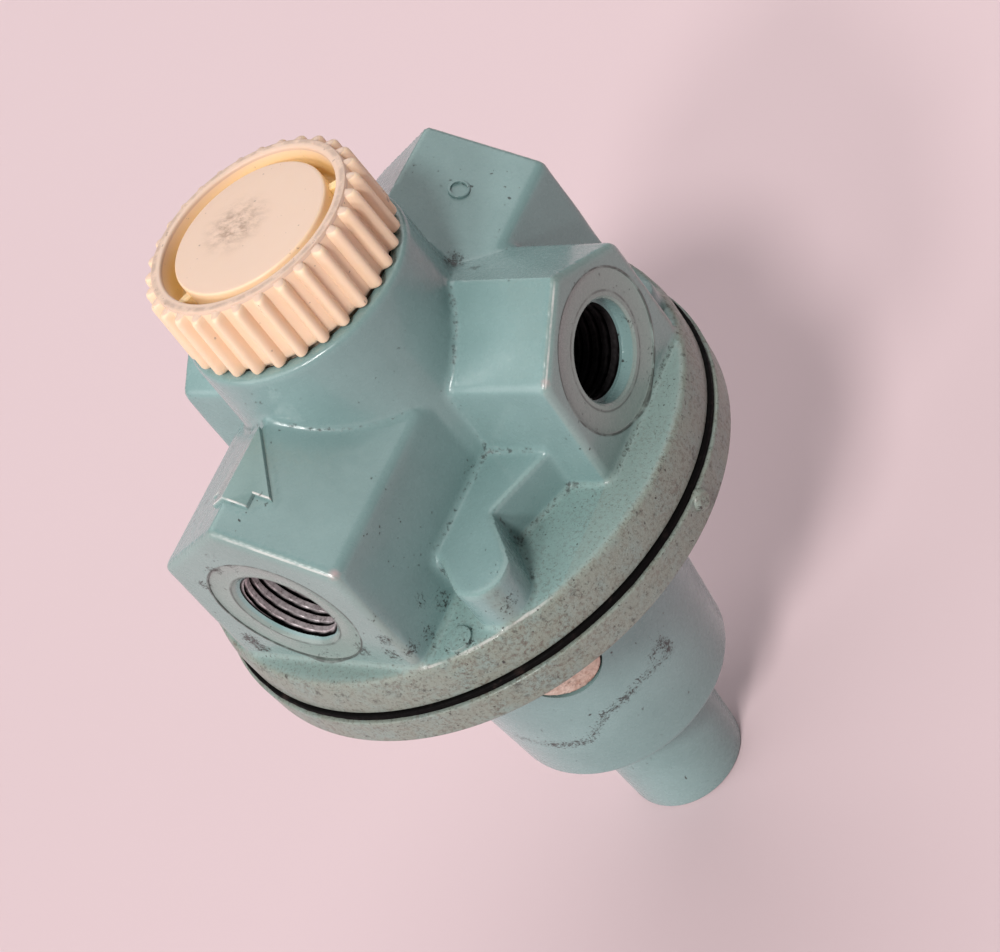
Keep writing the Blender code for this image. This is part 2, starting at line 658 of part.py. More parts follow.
# Adjuster in the bonnet
def build_adjuster():
    groove = FLOOR_Z + 3.6
    low = groove - CLIP_T - 2 * GAP
    head = RECESS_H - 0.5
    foot = head - ADJUST_HEAD_H
    tip = NUT_TOP + ADJUST_REACH
    profile = [(0, tip), (ADJUST_R - 0.8, tip), (ADJUST_R, tip - 0.8),
               (ADJUST_R, groove), (ADJUST_R - 0.6, groove), (ADJUST_R - 0.6, low),
               (ADJUST_R, low), (ADJUST_R, head), (ADJUST_HEAD_R, head),
               (ADJUST_HEAD_R, foot + 0.5), (ADJUST_HEAD_R - 0.5, foot), (0, foot)]
    screw = turned("adjusting_screw", profile, 20, STEEL)
    cut(screw, [rod("key_socket", KEY_R, foot - 1, foot + KEY_DEEP, 6)])
    ring_in = ADJUST_R - 0.3
    clip = [(ring_in, low + GAP), (ring_in + 2.9, low + GAP), (ring_in + 2.9, groove - GAP),
            (ring_in, groove - GAP)]
    clip = turned("retaining_ring", clip, 20, STEEL)
    cut(clip, [block("clip_mouth", (0, -1.6, groove - 3), (ADJUST_R + 6, 1.6, groove + 2))])
    washer = [(ADJUST_R + 0.4, FLOOR_Z + GAP), (ADJUST_R + 4.0, FLOOR_Z + GAP),
              (ADJUST_R + 4.0, low - GAP), (ADJUST_R + 0.4, low - GAP)]
    turned("thrust_washer", washer, 20, STEEL)
    wide = BORE_LOW - 1.4
    hub = [(ADJUST_R + GAP, NUT_TOP), (wide, NUT_TOP), (wide, NUT_TOP - NUT_FLANGE),
           (ADJUST_R + 3.5, NUT_TOP - NUT_FLANGE), (ADJUST_R + 3.0, NUT_Z), (ADJUST_R + GAP, NUT_Z)]
    nut = turned("spring_nut", hub, 24, BRASS)
    lug = LUG_W / 2
    join(nut, [block("nut_lug", (wide - 2, -lug, NUT_TOP - 2.7), (BORE_LOW + 0.9, lug, NUT_TOP - 0.4))])


# Springs
def coil(name, radius, wire, low, high, turns):
    """One unbroken wound tube; prints its least gap between neighbouring turns."""
    first = low + wire
    rise = high - low - 2 * wire
    count = int(round(8 * turns))
    spots = []
    for k in range(count + 1):
        a = math.tau * turns * k / count
        spots.append(Vector((radius * math.cos(a), radius * math.sin(a), first + rise * k / count)))
    skip = int(0.6 * count / turns)
    least = min((a - b).length for i, a in enumerate(spots) for b in spots[i + skip:])
    print(name, "least gap between turns, mm:", round(least - 2 * wire, 2))
    curve = bpy.data.curves.new(name, "CURVE")
    curve.dimensions = "3D"
    curve.bevel_depth = wire * MM
    curve.bevel_resolution = 1
    curve.use_fill_caps = True
    line = curve.splines.new("POLY")
    line.points.add(count)
    for point, spot in zip(line.points, spots):
        point.co = (*(spot * MM), 1.0)
    curve.materials.append(paint(name, *STEEL))
    ob = bpy.data.objects.new(name, curve)
    PART_GROUP.objects.link(ob)
    return ob


# Fasteners
def build_fasteners():
    seat = BARREL_TOP + SCREW_SINK - GAP
    washer = [(SCREW_R + 0.35, seat), (HEAD_R + 0.2, seat), (HEAD_R + 0.2, seat - WASHER_T),
              (SCREW_R + 0.35, seat - WASHER_T)]
    under = seat - WASHER_T - GAP
    tip = SCREW_END - 1.1
    head = [(0, tip), (SCREW_R - 0.4, tip), (SCREW_R, tip - 0.5), (SCREW_R, under), (HEAD_R, under),
            (HEAD_R, under - HEAD_H + 0.9), (HEAD_R - 0.9, under - HEAD_H + 0.1), (0, under - HEAD_H)]
    for k, (x, y) in enumerate(SCREW_SPOTS):
        place = Matrix.Translation((x, y, 0))
        turned("lock_washer_%d" % (k + 1), washer, 10, STEEL, place)
        turned("flange_screw_%d" % (k + 1), head, 10, STEEL, place)


build_body()
build_cap()
build_bonnet()
build_vent()
build_diaphragm()
STACK_TOP, SPRING_TOP = build_stack()
build_valve(STACK_TOP)
build_adjuster()
coil("valve_spring", VALVE_COIL_R, VALVE_WIRE, POPPET_TOP + GAP, CAP_ROOF - GAP, VALVE_TURNS)
coil("range_spring", RANGE_R, RANGE_WIRE, NUT_TOP + GAP, SPRING_TOP - GAP, RANGE_TURNS)
build_fasteners()
finish()
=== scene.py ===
"""Looks of the air pressure regulator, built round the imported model.

Sizes are in millimetres in the frame of the solids: the end tube stands on
Z = 0, the cap is on top and the inlet faces -Y.
"""
import math
from collections import namedtuple

import bmesh
import bpy
import numpy as np
from mathutils import Matrix, Vector, noise


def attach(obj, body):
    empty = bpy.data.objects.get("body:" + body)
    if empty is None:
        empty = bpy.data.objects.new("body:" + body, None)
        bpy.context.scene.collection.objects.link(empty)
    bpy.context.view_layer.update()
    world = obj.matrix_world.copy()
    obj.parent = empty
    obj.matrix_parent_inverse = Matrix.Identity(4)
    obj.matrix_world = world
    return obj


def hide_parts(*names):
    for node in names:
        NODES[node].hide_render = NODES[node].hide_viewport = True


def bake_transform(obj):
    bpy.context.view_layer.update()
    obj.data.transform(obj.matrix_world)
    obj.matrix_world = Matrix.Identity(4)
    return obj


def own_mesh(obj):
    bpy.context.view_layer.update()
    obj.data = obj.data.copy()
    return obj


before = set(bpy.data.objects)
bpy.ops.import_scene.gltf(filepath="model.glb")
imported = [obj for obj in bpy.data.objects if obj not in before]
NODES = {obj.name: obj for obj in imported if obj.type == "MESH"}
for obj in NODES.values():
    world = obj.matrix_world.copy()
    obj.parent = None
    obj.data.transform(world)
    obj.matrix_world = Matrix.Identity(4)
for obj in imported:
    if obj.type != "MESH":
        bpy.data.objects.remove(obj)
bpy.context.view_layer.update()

MM = 0.001

# Sizes of the body solid that the skin follows
FLANGE_R = 38.0
FLANGE_TOP = 79.98
PART_Z = 73.78        # parting face under the body flange
NECK_R = 16.35
BOLT_R = 33.0
BOLT_TURNS = (45, 135, 225, 315)

# Ports and their bosses
PORT_Z = 90.83
MAIN_AF = 29.6        # inlet and outlet boss, across flats
MAIN_L = 34.1
SIDE_AF = 24.4        # gauge boss, across flats
SIDE_L = 31.5
SIDE_SHIFT = 7.7
DRAFT = 0.35          # taper of a boss over its length
WALL_DRAFT = 0.8      # walls spread down to the flange
BOSS_ROOT = 9.0       # where the boss skin starts inside the neck
PORT_R = 6.6
PORT_DEPTH = 13.0
PORT_ZONE = 8.0       # faces within this radius of a port axis belong to the port
SPOT_R = 10.5         # machined ring round a port
SPOT_DEEP = 0.3
PITCH = 1.411         # pipe thread, 18 turns to the inch
CREST_R = 5.9         # thread crests at the inner end of a port
THREAD_DEEP = 0.85
TAPER = 32            # depth over which the thread grows by one in radius
RUN_OUT = 1.2         # length over which the thread fades at its inner end

# Flow arrow, measured outwards from the neck
ARROW_TIP = 1.9
ARROW_BACK = 10.8
ARROW_TAIL = 12.8
ARROW_WIDE = 4.85     # half width at the barbs
ARROW_SLIM = 2.8      # half width of the shaft

# Bonnet and vent
BONNET_R = 39.0
BONNET_TOP = 72.7
BARREL_TOP = 67.9
TUBE_H = 24.5
SINK = 2.7            # counterbore of the screw heads
SCREW_HOLE = 2.2
VENT_R = 5.65
VENT_Z = 51.08
VENT_TURN = -53.0
VENT_SEAT = 16.9
VENT_FACE = 19.6

# Cap
CAP_FOOT = 115.28
CAP_TOP = 125.78
CAP_WALL_R = 14.7     # between the ribs, near the foot
CAP_SEAT_R = 13.85
SKIRT_R = 11.4
SKIRT_FOOT = 109.0
SKIRT_TOP = 114.5
CAP_BORE_TOP = 118.0
CAP_PITCH = 1.5
CAP_THREAD = (109.1, 114.2)
RIBS = 30
RIB_H = 1.3
RIB_POINTS = 24
DISC_R = 11.0
MOAT_R = 12.7
MOAT_Z = CAP_TOP - 4.8

# Rubber between the flanges
EDGE_LOW = 72.76
EDGE_TOP = 73.72
EDGE_R = 38.55
CLAMP_Z = 73.54       # top of the diaphragm in its clamp
RUBBER_T = 0.6


# Mesh tools
def link(name, data):
    ob = bpy.data.objects.new(name, data)
    bpy.context.scene.collection.objects.link(ob)
    return ob


def solid(name, verts, faces, split=False):
    """Mesh from points in millimetres; split cuts its faces into triangles."""
    mesh = bpy.data.meshes.new(name)
    mesh.from_pydata([Vector(p) * MM for p in verts], [], faces)
    bm = bmesh.new()
    bm.from_mesh(mesh)
    if split:
        bmesh.ops.triangulate(bm, faces=bm.faces, ngon_method="EAR_CLIP")
    bmesh.ops.recalc_face_normals(bm, faces=bm.faces)
    bm.to_mesh(mesh)
    bm.free()
    return mesh


def skin(name, rings, loop=False, place=None):
    """Closed mesh over rings of equal count; a ring of one point is a pole."""
    verts, faces, starts = [], [], []
    for points in rings:
        starts.append(len(verts))
        verts += points
    pairs = [(k, k + 1) for k in range(len(rings) - 1)]
    if loop:
        pairs.append((len(rings) - 1, 0))
    for low, high in pairs:
        a, b = len(rings[low]), len(rings[high])
        count = max(a, b)
        for k in range(count):
            j = (k + 1) % count
            face = [starts[low] + k % a, starts[low] + j % a,
                    starts[high] + j % b, starts[high] + k % b]
            faces.append(list(dict.fromkeys(face)))
    mesh = solid(name, verts, faces)
    if place is not None:
        mesh.transform(Matrix.Scale(MM, 4) @ place @ Matrix.Scale(1 / MM, 4))
    return link(name, mesh)


def polar(radius, angle, z):
    return radius * math.cos(angle), radius * math.sin(angle), z


def around(radius, z, count):
    if radius == 0:
        return [(0, 0, z)]
    step = math.tau / count
    return [polar(radius, step * k, z) for k in range(count)]


def soften(profile, steps=5):
    """Round the corners of a profile of (radius, height, reach) points."""
    out = []
    for k, (r, z, reach) in enumerate(profile):
        here = Vector((r, z))
        if reach == 0 or k in (0, len(profile) - 1):
            out.append((r, z))
            continue
        ends = []
        for other in (profile[k - 1], profile[k + 1]):
            way = Vector(other[:2]) - here
            ends.append(here + way.normalized() * min(reach, 0.48 * way.length))
        for j in range(steps + 1):
            t = j / steps
            p = ends[0] * (1 - t) ** 2 + here * 2 * t * (1 - t) + ends[1] * t * t
            out.append((p.x, p.y))
    return out


def lathe(name, profile, count, loop=False, place=None):
    return skin(name, [around(r, z, count) for r, z in soften(profile)], loop, place)


def settle(ob):
    """Apply the modifiers of a piece."""
    bpy.context.view_layer.update()
    graph = bpy.context.evaluated_depsgraph_get()
    mesh = bpy.data.meshes.new_from_object(ob.evaluated_get(graph))
    ob.modifiers.clear()
    ob.data = mesh


def combine(ob, tools, operation):
    for tool in tools:
        mod = ob.modifiers.new("combine", "BOOLEAN")
        mod.operation = operation
        mod.solver = "MANIFOLD"
        mod.object = tool
    settle(ob)
    for tool in tools:
        bpy.data.objects.remove(tool, do_unlink=True)


def shade(ob, angle=35):
    ob.data.shade_smooth()
    ob.data.set_sharp_from_angle(angle=math.radians(angle))


def facing(turn, shift, z):
    """Frame whose Z axis leaves the part level in the direction of turn."""
    a = math.radians(turn)
    out = Vector((math.cos(a), math.sin(a), 0))
    side = Vector((-math.sin(a), math.cos(a), 0))
    axes = Matrix((side, Vector((0, 0, 1)), out)).transposed().to_4x4()
    axes.translation = Vector((0, shift, z))
    return axes


def bolt_place(turn):
    """Frame of one flange screw."""
    return Matrix.Translation(polar(BOLT_R, math.radians(turn), 0))


# Ports: the inlet and outlet in line, a gauge port on each side
Port = namedtuple("Port", "turn shift length across passage chamfer lead")
MAIN = dict(shift=0, length=MAIN_L, across=MAIN_AF, passage=4.6, chamfer=0.95, lead=0.0)
SIDE = dict(shift=SIDE_SHIFT, length=SIDE_L, across=SIDE_AF, passage=3.0, chamfer=0.35, lead=2.2)
PORTS = [Port(-90, **MAIN), Port(90, **MAIN), Port(0, **SIDE), Port(180, **SIDE)]


def port_place(port):
    return facing(port.turn, port.shift, PORT_Z)


def in_port(co, port):
    """Points in the frame of a port, whose Z axis leaves the part."""
    place = np.array(port_place(port))
    return (co - place[:3, 3]) @ place[:3, :3]


def crest_radius(t, end):
    """Radius of the thread crests at a depth; pipe threads taper."""
    return CREST_R + (t - end) / TAPER


def thread_radius(port, t, share, end, spot):
    """Radius of a port at a depth and a share of a turn."""
    phase = (t / PITCH - share + 0.5) % 1.0
    tooth = min(1.0, max(0.0, abs(2 * phase - 1) * 2.1 - 1.0))
    tooth = tooth * tooth * (3 - 2 * tooth)
    tooth *= min(1.0, (t - end) / RUN_OUT)
    if port.lead:
        tooth *= min(1.0, max(0.0, (spot - port.lead - t) / 0.8))
    r = crest_radius(t, end) + THREAD_DEEP * tooth
    if port.lead and t > spot - port.lead:
        r = PORT_R + 0.05
    return max(r, PORT_R + port.chamfer - (spot - t) * 1.1)


def port_cutter(port):
    """Spot face, chamfer and helical pipe thread of one port."""
    count, levels = 96, 16
    end, spot, clear = port.length - PORT_DEPTH, port.length - SPOT_DEEP, port.length + 6
    rings = [around(0, end - 3, count), around(port.passage, end - 3, count),
             around(port.passage, end - 2, count), around(CREST_R - 0.5, end, count)]
    steps = round(levels * (spot - end) / PITCH)
    for k in range(1, steps):
        t = end + (spot - end) * k / steps
        rings.append([polar(thread_radius(port, t, j / count, end, spot), math.tau * j / count, t)
                      for j in range(count)])
    rings += [around(PORT_R + port.chamfer, spot, count), around(SPOT_R - 0.25, spot - 0.02, count),
              around(SPOT_R, spot + 0.12, count), around(SPOT_R + 0.12, clear, count),
              around(0, clear, count)]
    return skin("port", rings, place=port_place(port))


# Masks for the materials, one number per vertex
def store(mesh, name, values):
    layer = mesh.attributes.new(name, "FLOAT", "POINT")
    layer.data.foreach_set("value", np.clip(values, 0, 1).astype(np.float32))


def positions(mesh):
    co = np.empty(len(mesh.vertices) * 3, dtype=np.float32)
    mesh.vertices.foreach_get("co", co)
    return co.reshape(-1, 3).astype(np.float64) / MM


def hollow(mesh, rounds):
    """How far each vertex lies under (+) or over (-) its smoothed surroundings."""
    co = positions(mesh)
    normal = np.empty(len(co) * 3, dtype=np.float32)
    mesh.vertices.foreach_get("normal", normal)
    normal = normal.reshape(-1, 3)
    ends = np.empty(len(mesh.edges) * 2, dtype=np.int32)
    mesh.edges.foreach_get("vertices", ends)
    a, b = ends.reshape(-1, 2).T
    total = np.bincount(np.r_[a, b], minlength=len(co)).clip(1)
    soft = co.copy()
    for _ in range(rounds):
        near = np.stack([np.bincount(np.r_[a, b], np.r_[soft[b, i], soft[a, i]], len(co))
                         for i in range(3)], 1)
        soft = 0.3 * soft + 0.7 * near / total[:, None]
    return ((soft - co) * normal).sum(1)


def spots(co, places):
    """Soft round patches of (x, y, z, reach, strength)."""
    out = np.zeros(len(co))
    for x, y, z, reach, strength in places:
        far = np.linalg.norm(co - np.array((x, y, z)), axis=1) / reach
        out = np.maximum(out, strength * np.clip(1.5 - 1.5 * far, 0, 1))
    return out


def smooth(value, low, high):
    t = np.clip((value - low) / (high - low), 0, 1)
    return t * t * (3 - 2 * t)


# Materials
def rgb(r, g, b):
    """Linear colour from screen values."""
    flat = [v / 255 for v in (r, g, b)]
    return tuple(v / 12.92 if v < 0.04045 else ((v + 0.055) / 1.055) ** 2.4 for v in flat) + (1.0,)


class Look:
    """One node material, with short names for the nodes it uses."""

    def __init__(self, name, **plain):
        self.mat = bpy.data.materials.new(name)
        self.mat.use_nodes = True
        self.tree = self.mat.node_tree
        self.shader = self.tree.nodes["Principled BSDF"]
        self.place = self.tree.nodes.new("ShaderNodeTexCoord").outputs["Object"]
        for key, value in plain.items():
            self.shader.inputs[key.replace("_", " ")].default_value = value

    def node(self, kind, inputs, **options):
        made = self.tree.nodes.new(kind)
        for key, value in options.items():
            setattr(made, key, value)
        for key, value in inputs.items():
            self.feed(made.inputs[key], value)
        return made

    def feed(self, socket, value):
        if isinstance(value, bpy.types.NodeSocket):
            self.tree.links.new(value, socket)
        else:
            socket.default_value = value

    def set(self, **sockets):
        for key, value in sockets.items():
            self.feed(self.shader.inputs[key.replace("_", " ")], value)

    def sums(self, operation, a, b=0.0):
        return self.node("ShaderNodeMath", {0: a, 1: b}, operation=operation, use_clamp=False).outputs[0]

    def times(self, *values):
        out = values[0]
        for value in values[1:]:
            out = self.sums("MULTIPLY", out, value)
        return out

    def most(self, *values):
        out = values[0]
        for value in values[1:]:
            out = self.sums("MAXIMUM", out, value)
        return out

    def step(self, value, low, high, to_low=0.0, to_high=1.0):
        made = self.node("ShaderNodeMapRange", {0: value, 1: low, 2: high, 3: to_low, 4: to_high},
                         interpolation_type="SMOOTHSTEP")
        return made.outputs[0]

    def moved(self, stretch, offset=(0, 0, 0)):
        return self.node("ShaderNodeMapping", {"Vector": self.place, "Scale": stretch,
                                               "Location": offset}).outputs[0]

    def noise(self, scale, detail=3.0, rough=0.5, stretch=(1, 1, 1), offset=(0, 0, 0)):
        where = self.moved(stretch, offset)
        return self.node("ShaderNodeTexNoise", {"Vector": where, "Scale": scale, "Detail": detail,
                                                "Roughness": rough}).outputs[0]

    def cells(self, scale, offset=(0, 0, 0)):
        where = self.moved((1, 1, 1), offset)
        return self.node("ShaderNodeTexVoronoi", {"Vector": where, "Scale": scale}).outputs[0]

    def mix(self, share, a, b):
        made = self.node("ShaderNodeMix", {}, data_type="RGBA")
        self.feed(made.inputs[0], share)
        self.feed(made.inputs[6], a)
        self.feed(made.inputs[7], b)
        return made.outputs[2]

    def axes(self):
        return self.node("ShaderNodeSeparateXYZ", {0: self.place}).outputs[:3]

    def away(self, value, middle):
        """Distance along one axis from a place in millimetres."""
        return self.sums("ABSOLUTE", self.sums("SUBTRACT", value, middle * MM))

    def square(self, value, middle):
        off = self.sums("SUBTRACT", value, middle * MM)
        return self.times(off, off)

    def far(self, a, b, at=(0, 0)):
        """Distance in a plane from a place in millimetres."""
        return self.sums("SQRT", self.sums("ADD", self.square(a, at[0]), self.square(b, at[1])))

    def line(self, value, at, half, soft):
        """One near a place on a scale in millimetres, fading to nothing on both sides."""
        return self.step(self.away(value, at), (half + soft) * MM, half * MM)

    def read(self, name):
        return self.node("ShaderNodeAttribute", {}, attribute_name=name).outputs["Fac"]

    def bump(self, height, distance, strength=1.0, under=None):
        inputs = {"Height": height, "Distance": distance * MM, "Strength": strength}
        if under is not None:
            inputs["Normal"] = under
        return self.node("ShaderNodeBump", inputs).outputs[0]


TEAL_DEEP = rgb(121, 150, 149)
TEAL_PALE = rgb(133, 162, 161)
TEAL_CHALK = rgb(146, 173, 164)
RIM = rgb(134, 142, 130)
FILM = rgb(142, 150, 142)
# dark brown of the dirt and of the painted crease shade
GRIME_AND_SHADE = rgb(38, 34, 32)
RUST = rgb(96, 84, 74)
# near white of the painted highlight lines
HIGHLIGHT_WHITE = rgb(232, 228, 224)
BLUSH = rgb(178, 162, 162)


def worn_paint(look, wear, chalk, fine):
    """Paint that pales on its edges, with a grey film and brown speckle on the worn rims."""
    colour = look.mix(look.step(look.noise(60, 4, 0.55), 0.3, 0.7), TEAL_DEEP, TEAL_PALE)
    pale = look.most(look.times(look.read("edge"), 0.18), look.times(chalk, 0.3))
    colour = look.mix(pale, colour, TEAL_CHALK)
    film = look.step(look.noise(300, 5, 0.7), 0.30, 0.60, 0.5, 0.95)
    colour = look.mix(look.times(wear, film), colour, RIM)
    speckle = look.step(look.noise(1700, 5, 0.75, offset=(0.1, 0.2, 0)), 0.48, 0.60)
    patch = look.step(look.noise(190, 5, 0.65, offset=(0.4, 0, 0.3)), 0.34, 0.62, 0.3, 1.0)
    worn = look.times(look.most(wear, look.times(chalk, 0.45)), speckle, patch)
    colour = look.mix(look.times(worn, 0.8), colour, RUST)
    blush = look.times(look.read("chip"), look.step(fine, 0.35, 0.5))
    return look.mix(blush, colour, BLUSH)


def arrow_glints(look, y, one, raised):
    """Painted highlight lines along the tail and the barbs of the flow arrow."""
    tail = look.line(y, -(NECK_R + ARROW_TAIL - 0.12), 0.07, 0.08)
    barb = look.line(y, -(NECK_R + ARROW_BACK - 0.12), 0.07, 0.08)
    barb = look.times(barb, look.step(one, (ARROW_SLIM - 0.1) * MM, ARROW_SLIM * MM))
    return look.times(raised, look.most(tail, barb), 0.8)


def machined_marks(look):
    """Dark ring round each spot face, painted highlight lines on the edges towards the light, film on the
    faces.
    """
    x, y, z = look.axes()
    up = look.sums("SUBTRACT", z, PORT_Z * MM)
    broken = look.step(look.noise(420, 4, 0.6, offset=(0.2, 0.9, 0)), 0.36, 0.56, 0.3, 1.0)
    rings, glints, films = [], [], []
    for across, length, one, other, lit in (
            (MAIN_AF, MAIN_L, look.away(x, 0), look.away(y, 0), look.step(x, -1 * MM, 2 * MM)),
            (SIDE_AF, SIDE_L, look.away(y, SIDE_SHIFT), look.away(x, 0),
             look.step(y, (SIDE_SHIFT + 1) * MM, (SIDE_SHIFT - 2) * MM))):
        round_port = look.far(one, up)
        at_face = look.step(other, (length - 0.9) * MM, (length - 0.6) * MM)
        ringed = look.step(round_port, (SPOT_R + 0.3) * MM, SPOT_R * MM, 0.3, 0.6)
        films.append(look.times(at_face, ringed))
        for radius, strong in ((SPOT_R + 0.1, 1.0), (PORT_R + 1.0, 0.7)):
            near = look.line(round_port, radius, 0.07, 0.14)
            rings.append(look.times(near, at_face, broken, strong))
        # painted highlight along the edge of roof and end face, on the lit half only
        near_edge = look.step(other, (length - 0.5) * MM, (length - 0.4) * MM)
        height = look.sums("ADD", up, look.times(one, 1 / math.sqrt(3)))
        ridge = across / math.sqrt(3)
        roof = look.step(height, (ridge - 0.55) * MM, (ridge - 0.42) * MM)
        glints.append(look.times(near_edge, roof, lit, 0.5))
        if across == MAIN_AF:
            raised = look.step(height, (ridge + 0.35) * MM, (ridge + 0.5) * MM)
            glints.append(arrow_glints(look, y, one, raised))
    # painted highlight: broken bright dashes on the flange's top edge, on the side towards the light
    brink_glint = look.times(look.line(look.far(x, y), FLANGE_R - 0.75, 0.08, 0.12),
                       look.line(z, FLANGE_TOP - 0.15, 0.2, 0.15),
                       look.step(y, -20 * MM, -25 * MM), look.step(x, 14 * MM, 17 * MM))
    glint = look.times(look.most(*glints, look.times(brink_glint, broken, 0.45)), broken)
    return look.most(*rings), glint, look.most(*films)


def casting_dirt_and_shade(look, wear, chalk, rings):
    """Dirt and painted shade in crevices, local smears, loose specks and the rings of the spot faces."""
    crease_dirt_and_shade, grime = look.read("crease_dirt_and_shade"), look.read("grime")
    ragged = look.noise(1500, 6, 0.75, offset=(0, 0.4, 0))
    grain = look.noise(3000, 3, 0.6, offset=(0.7, 0.2, 0.1))
    # painted shade: creases and recesses darken with their depth, broken up like caked dirt
    caked_dirt_and_shade = look.step(look.sums("ADD", ragged, look.times(crease_dirt_and_shade, 0.32)), 0.78, 0.94)
    smear = look.most(look.step(look.sums("ADD", ragged, look.times(grime, 0.36)), 0.80, 0.94),
                      look.step(look.sums("ADD", grain, look.times(grime, 0.26)), 0.74, 0.84))
    smear = look.times(smear, look.step(grime, 0.02, 0.3))
    speck = look.step(look.noise(1500, 2, 0.4, offset=(0.5, 0.1, 0.9)), 0.71, 0.74)
    sprinkle = look.step(look.noise(95, 3, 0.5, offset=(0.2, 0.6, 0)), 0.46, 0.60)
    speck = look.times(speck, look.most(sprinkle, look.times(wear, 0.9), look.times(chalk, 0.8)))
    dots = look.step(look.noise(2600, 3, 0.5, offset=(0.9, 0.1, 0.4)), 0.60, 0.68)
    dots = look.times(dots, look.most(look.times(wear, 0.8), look.times(chalk, 0.7)))
    scuff = look.step(look.noise(700, 6, 0.75, offset=(0.9, 0.3, 0)), 0.56, 0.68)
    return look.most(look.times(caked_dirt_and_shade, 0.75), look.times(smear, 0.9), look.times(speck, 0.9),
                     look.times(dots, 0.6), look.times(scuff, wear, 0.7), look.times(rings, 0.75))


def teal_paint():
    look = Look("teal_paint", Specular_IOR_Level=0.5, Coat_Weight=0.2, Coat_Roughness=0.12)
    wear, chalk = look.read("wear"), look.read("chalk")
    fine = look.noise(900, 4, 0.6)
    rings, glint, film = machined_marks(look)
    dirt_and_shade = casting_dirt_and_shade(look, wear, chalk, rings)
    colour = look.mix(film, worn_paint(look, wear, chalk, fine), FILM)
    # painted highlight lines in near white, then dirt and painted crease shade in dark brown
    colour = look.mix(dirt_and_shade, look.mix(glint, colour, HIGHLIGHT_WHITE), GRIME_AND_SHADE)
    rough = look.step(fine, 0.3, 0.7, 0.22, 0.32)
    rough = look.sums("ADD", rough, look.times(look.most(dirt_and_shade, wear, look.times(chalk, 0.6)), 0.28))
    peel = look.bump(look.noise(300, 2, 0.4), 0.012, 0.15)
    pitted = look.times(look.most(wear, look.times(chalk, 0.5)), look.noise(1500, 4, 0.7))
    rubbed = look.bump(pitted, 0.22, 0.6, peel)
    look.set(Base_Color=colour, Roughness=rough, Normal=look.bump(dirt_and_shade, 0.05, 0.6, rubbed))
    return look.mat


def machined_metal():
    look = Look("machined_metal")
    groove_residue_and_shade = look.read("groove_residue_and_shade")
    lines = look.noise(1600, 3, 0.6)
    colour = look.mix(look.step(lines, 0.3, 0.7), rgb(186, 176, 178), rgb(232, 224, 226))
    # thread grooves go near black: dark residue with painted shade
    colour = look.mix(groove_residue_and_shade, colour, rgb(8, 7, 8))
    look.set(Base_Color=colour, Metallic=look.step(groove_residue_and_shade, 0.0, 1.0, 0.6, 0.0),
             Specular_IOR_Level=look.step(groove_residue_and_shade, 0.0, 1.0, 0.5, 0.05),
             Roughness=look.step(lines, 0.2, 0.8, 0.24, 0.40), Normal=look.bump(lines, 0.02, 0.3))
    return look.mat


def cream_plastic():
    look = Look("cream_plastic", Subsurface_Weight=0.12, Subsurface_Radius=(0.004, 0.0025, 0.0012),
                Subsurface_Scale=0.4)
    x, y, z = look.axes()
    broad = look.noise(70, 4, 0.6)
    fine = look.noise(650, 5, 0.65)
    colour = look.mix(look.step(broad, 0.3, 0.7), rgb(242, 212, 181), rgb(246, 218, 189))
    moat = look.times(look.read("moat"), look.step(broad, 0.2, 0.8, 0.55, 0.95))
    colour = look.mix(moat, colour, rgb(240, 210, 136))
    # worn top, with a rubbed centre
    wide = look.far(x, y, at=(-2.2, 0.2))
    high = look.step(z, (CAP_TOP - 0.6) * MM, (CAP_TOP - 0.5) * MM)
    colour = look.mix(look.times(high, 0.8), colour, rgb(216, 188, 170))
    smudge = look.times(look.step(wide, 6.2 * MM, 0.5 * MM), high)
    smudge = look.times(smudge, look.step(look.noise(520, 6, 0.72, stretch=(1, 1.7, 1)), 0.36, 0.68))
    colour = look.mix(look.times(smudge, 0.7), colour, rgb(128, 102, 86))
    # grey wear on the rim, dirt and painted shade at the rib feet
    rim_middle = CAP_WALL_R - 0.95
    rim = look.times(look.line(look.far(x, y), rim_middle, 0.10, 0.45), high, look.step(fine, 0.30, 0.62))
    foot = look.times(look.read("foot"), look.step(fine, 0.35, 0.6))
    speck = look.step(look.noise(1300, 2, 0.4, offset=(0.3, 0, 0)), 0.73, 0.76)
    dirt_and_shade = look.most(look.times(foot, 0.7), look.times(speck, 0.5), look.times(rim, 0.4))
    colour = look.mix(dirt_and_shade, colour, rgb(118, 100, 92))
    rough = look.sums("ADD", look.step(fine, 0.3, 0.7, 0.38, 0.50), look.times(smudge, 0.2))
    look.set(Base_Color=colour, Roughness=rough,
             Normal=look.bump(fine, 0.05, 0.3, look.bump(look.noise(120, 3), 0.2, 0.25)))
    return look.mat


def black_rubber():
    look = Look("black_rubber", Specular_IOR_Level=0.08)
    fine = look.noise(1400, 4, 0.65)
    colour = look.mix(look.step(look.noise(420, 5, 0.65), 0.56, 0.82), rgb(7, 6, 6), rgb(58, 46, 42))
    look.set(Base_Color=colour, Roughness=look.step(fine, 0.3, 0.7, 0.55, 0.8),
             Normal=look.bump(fine, 0.15, 0.6))
    return look.mat


def porous_bronze():
    look = Look("porous_bronze", Metallic=0.35)
    grains = look.cells(1700)
    tint = look.noise(330, 5, 0.65)
    colour = look.mix(look.step(tint, 0.32, 0.66), rgb(178, 144, 126), rgb(222, 204, 190))
    dark = look.step(look.noise(620, 5, 0.7, offset=(0.2, 0, 0)), 0.55, 0.68)
    colour = look.mix(look.times(dark, 0.8), colour, rgb(84, 60, 50))
    look.set(Base_Color=colour, Roughness=look.step(grains, 0.0, 0.8, 0.42, 0.7),
             Normal=look.bump(grains, 0.25, 0.7))
    return look.mat


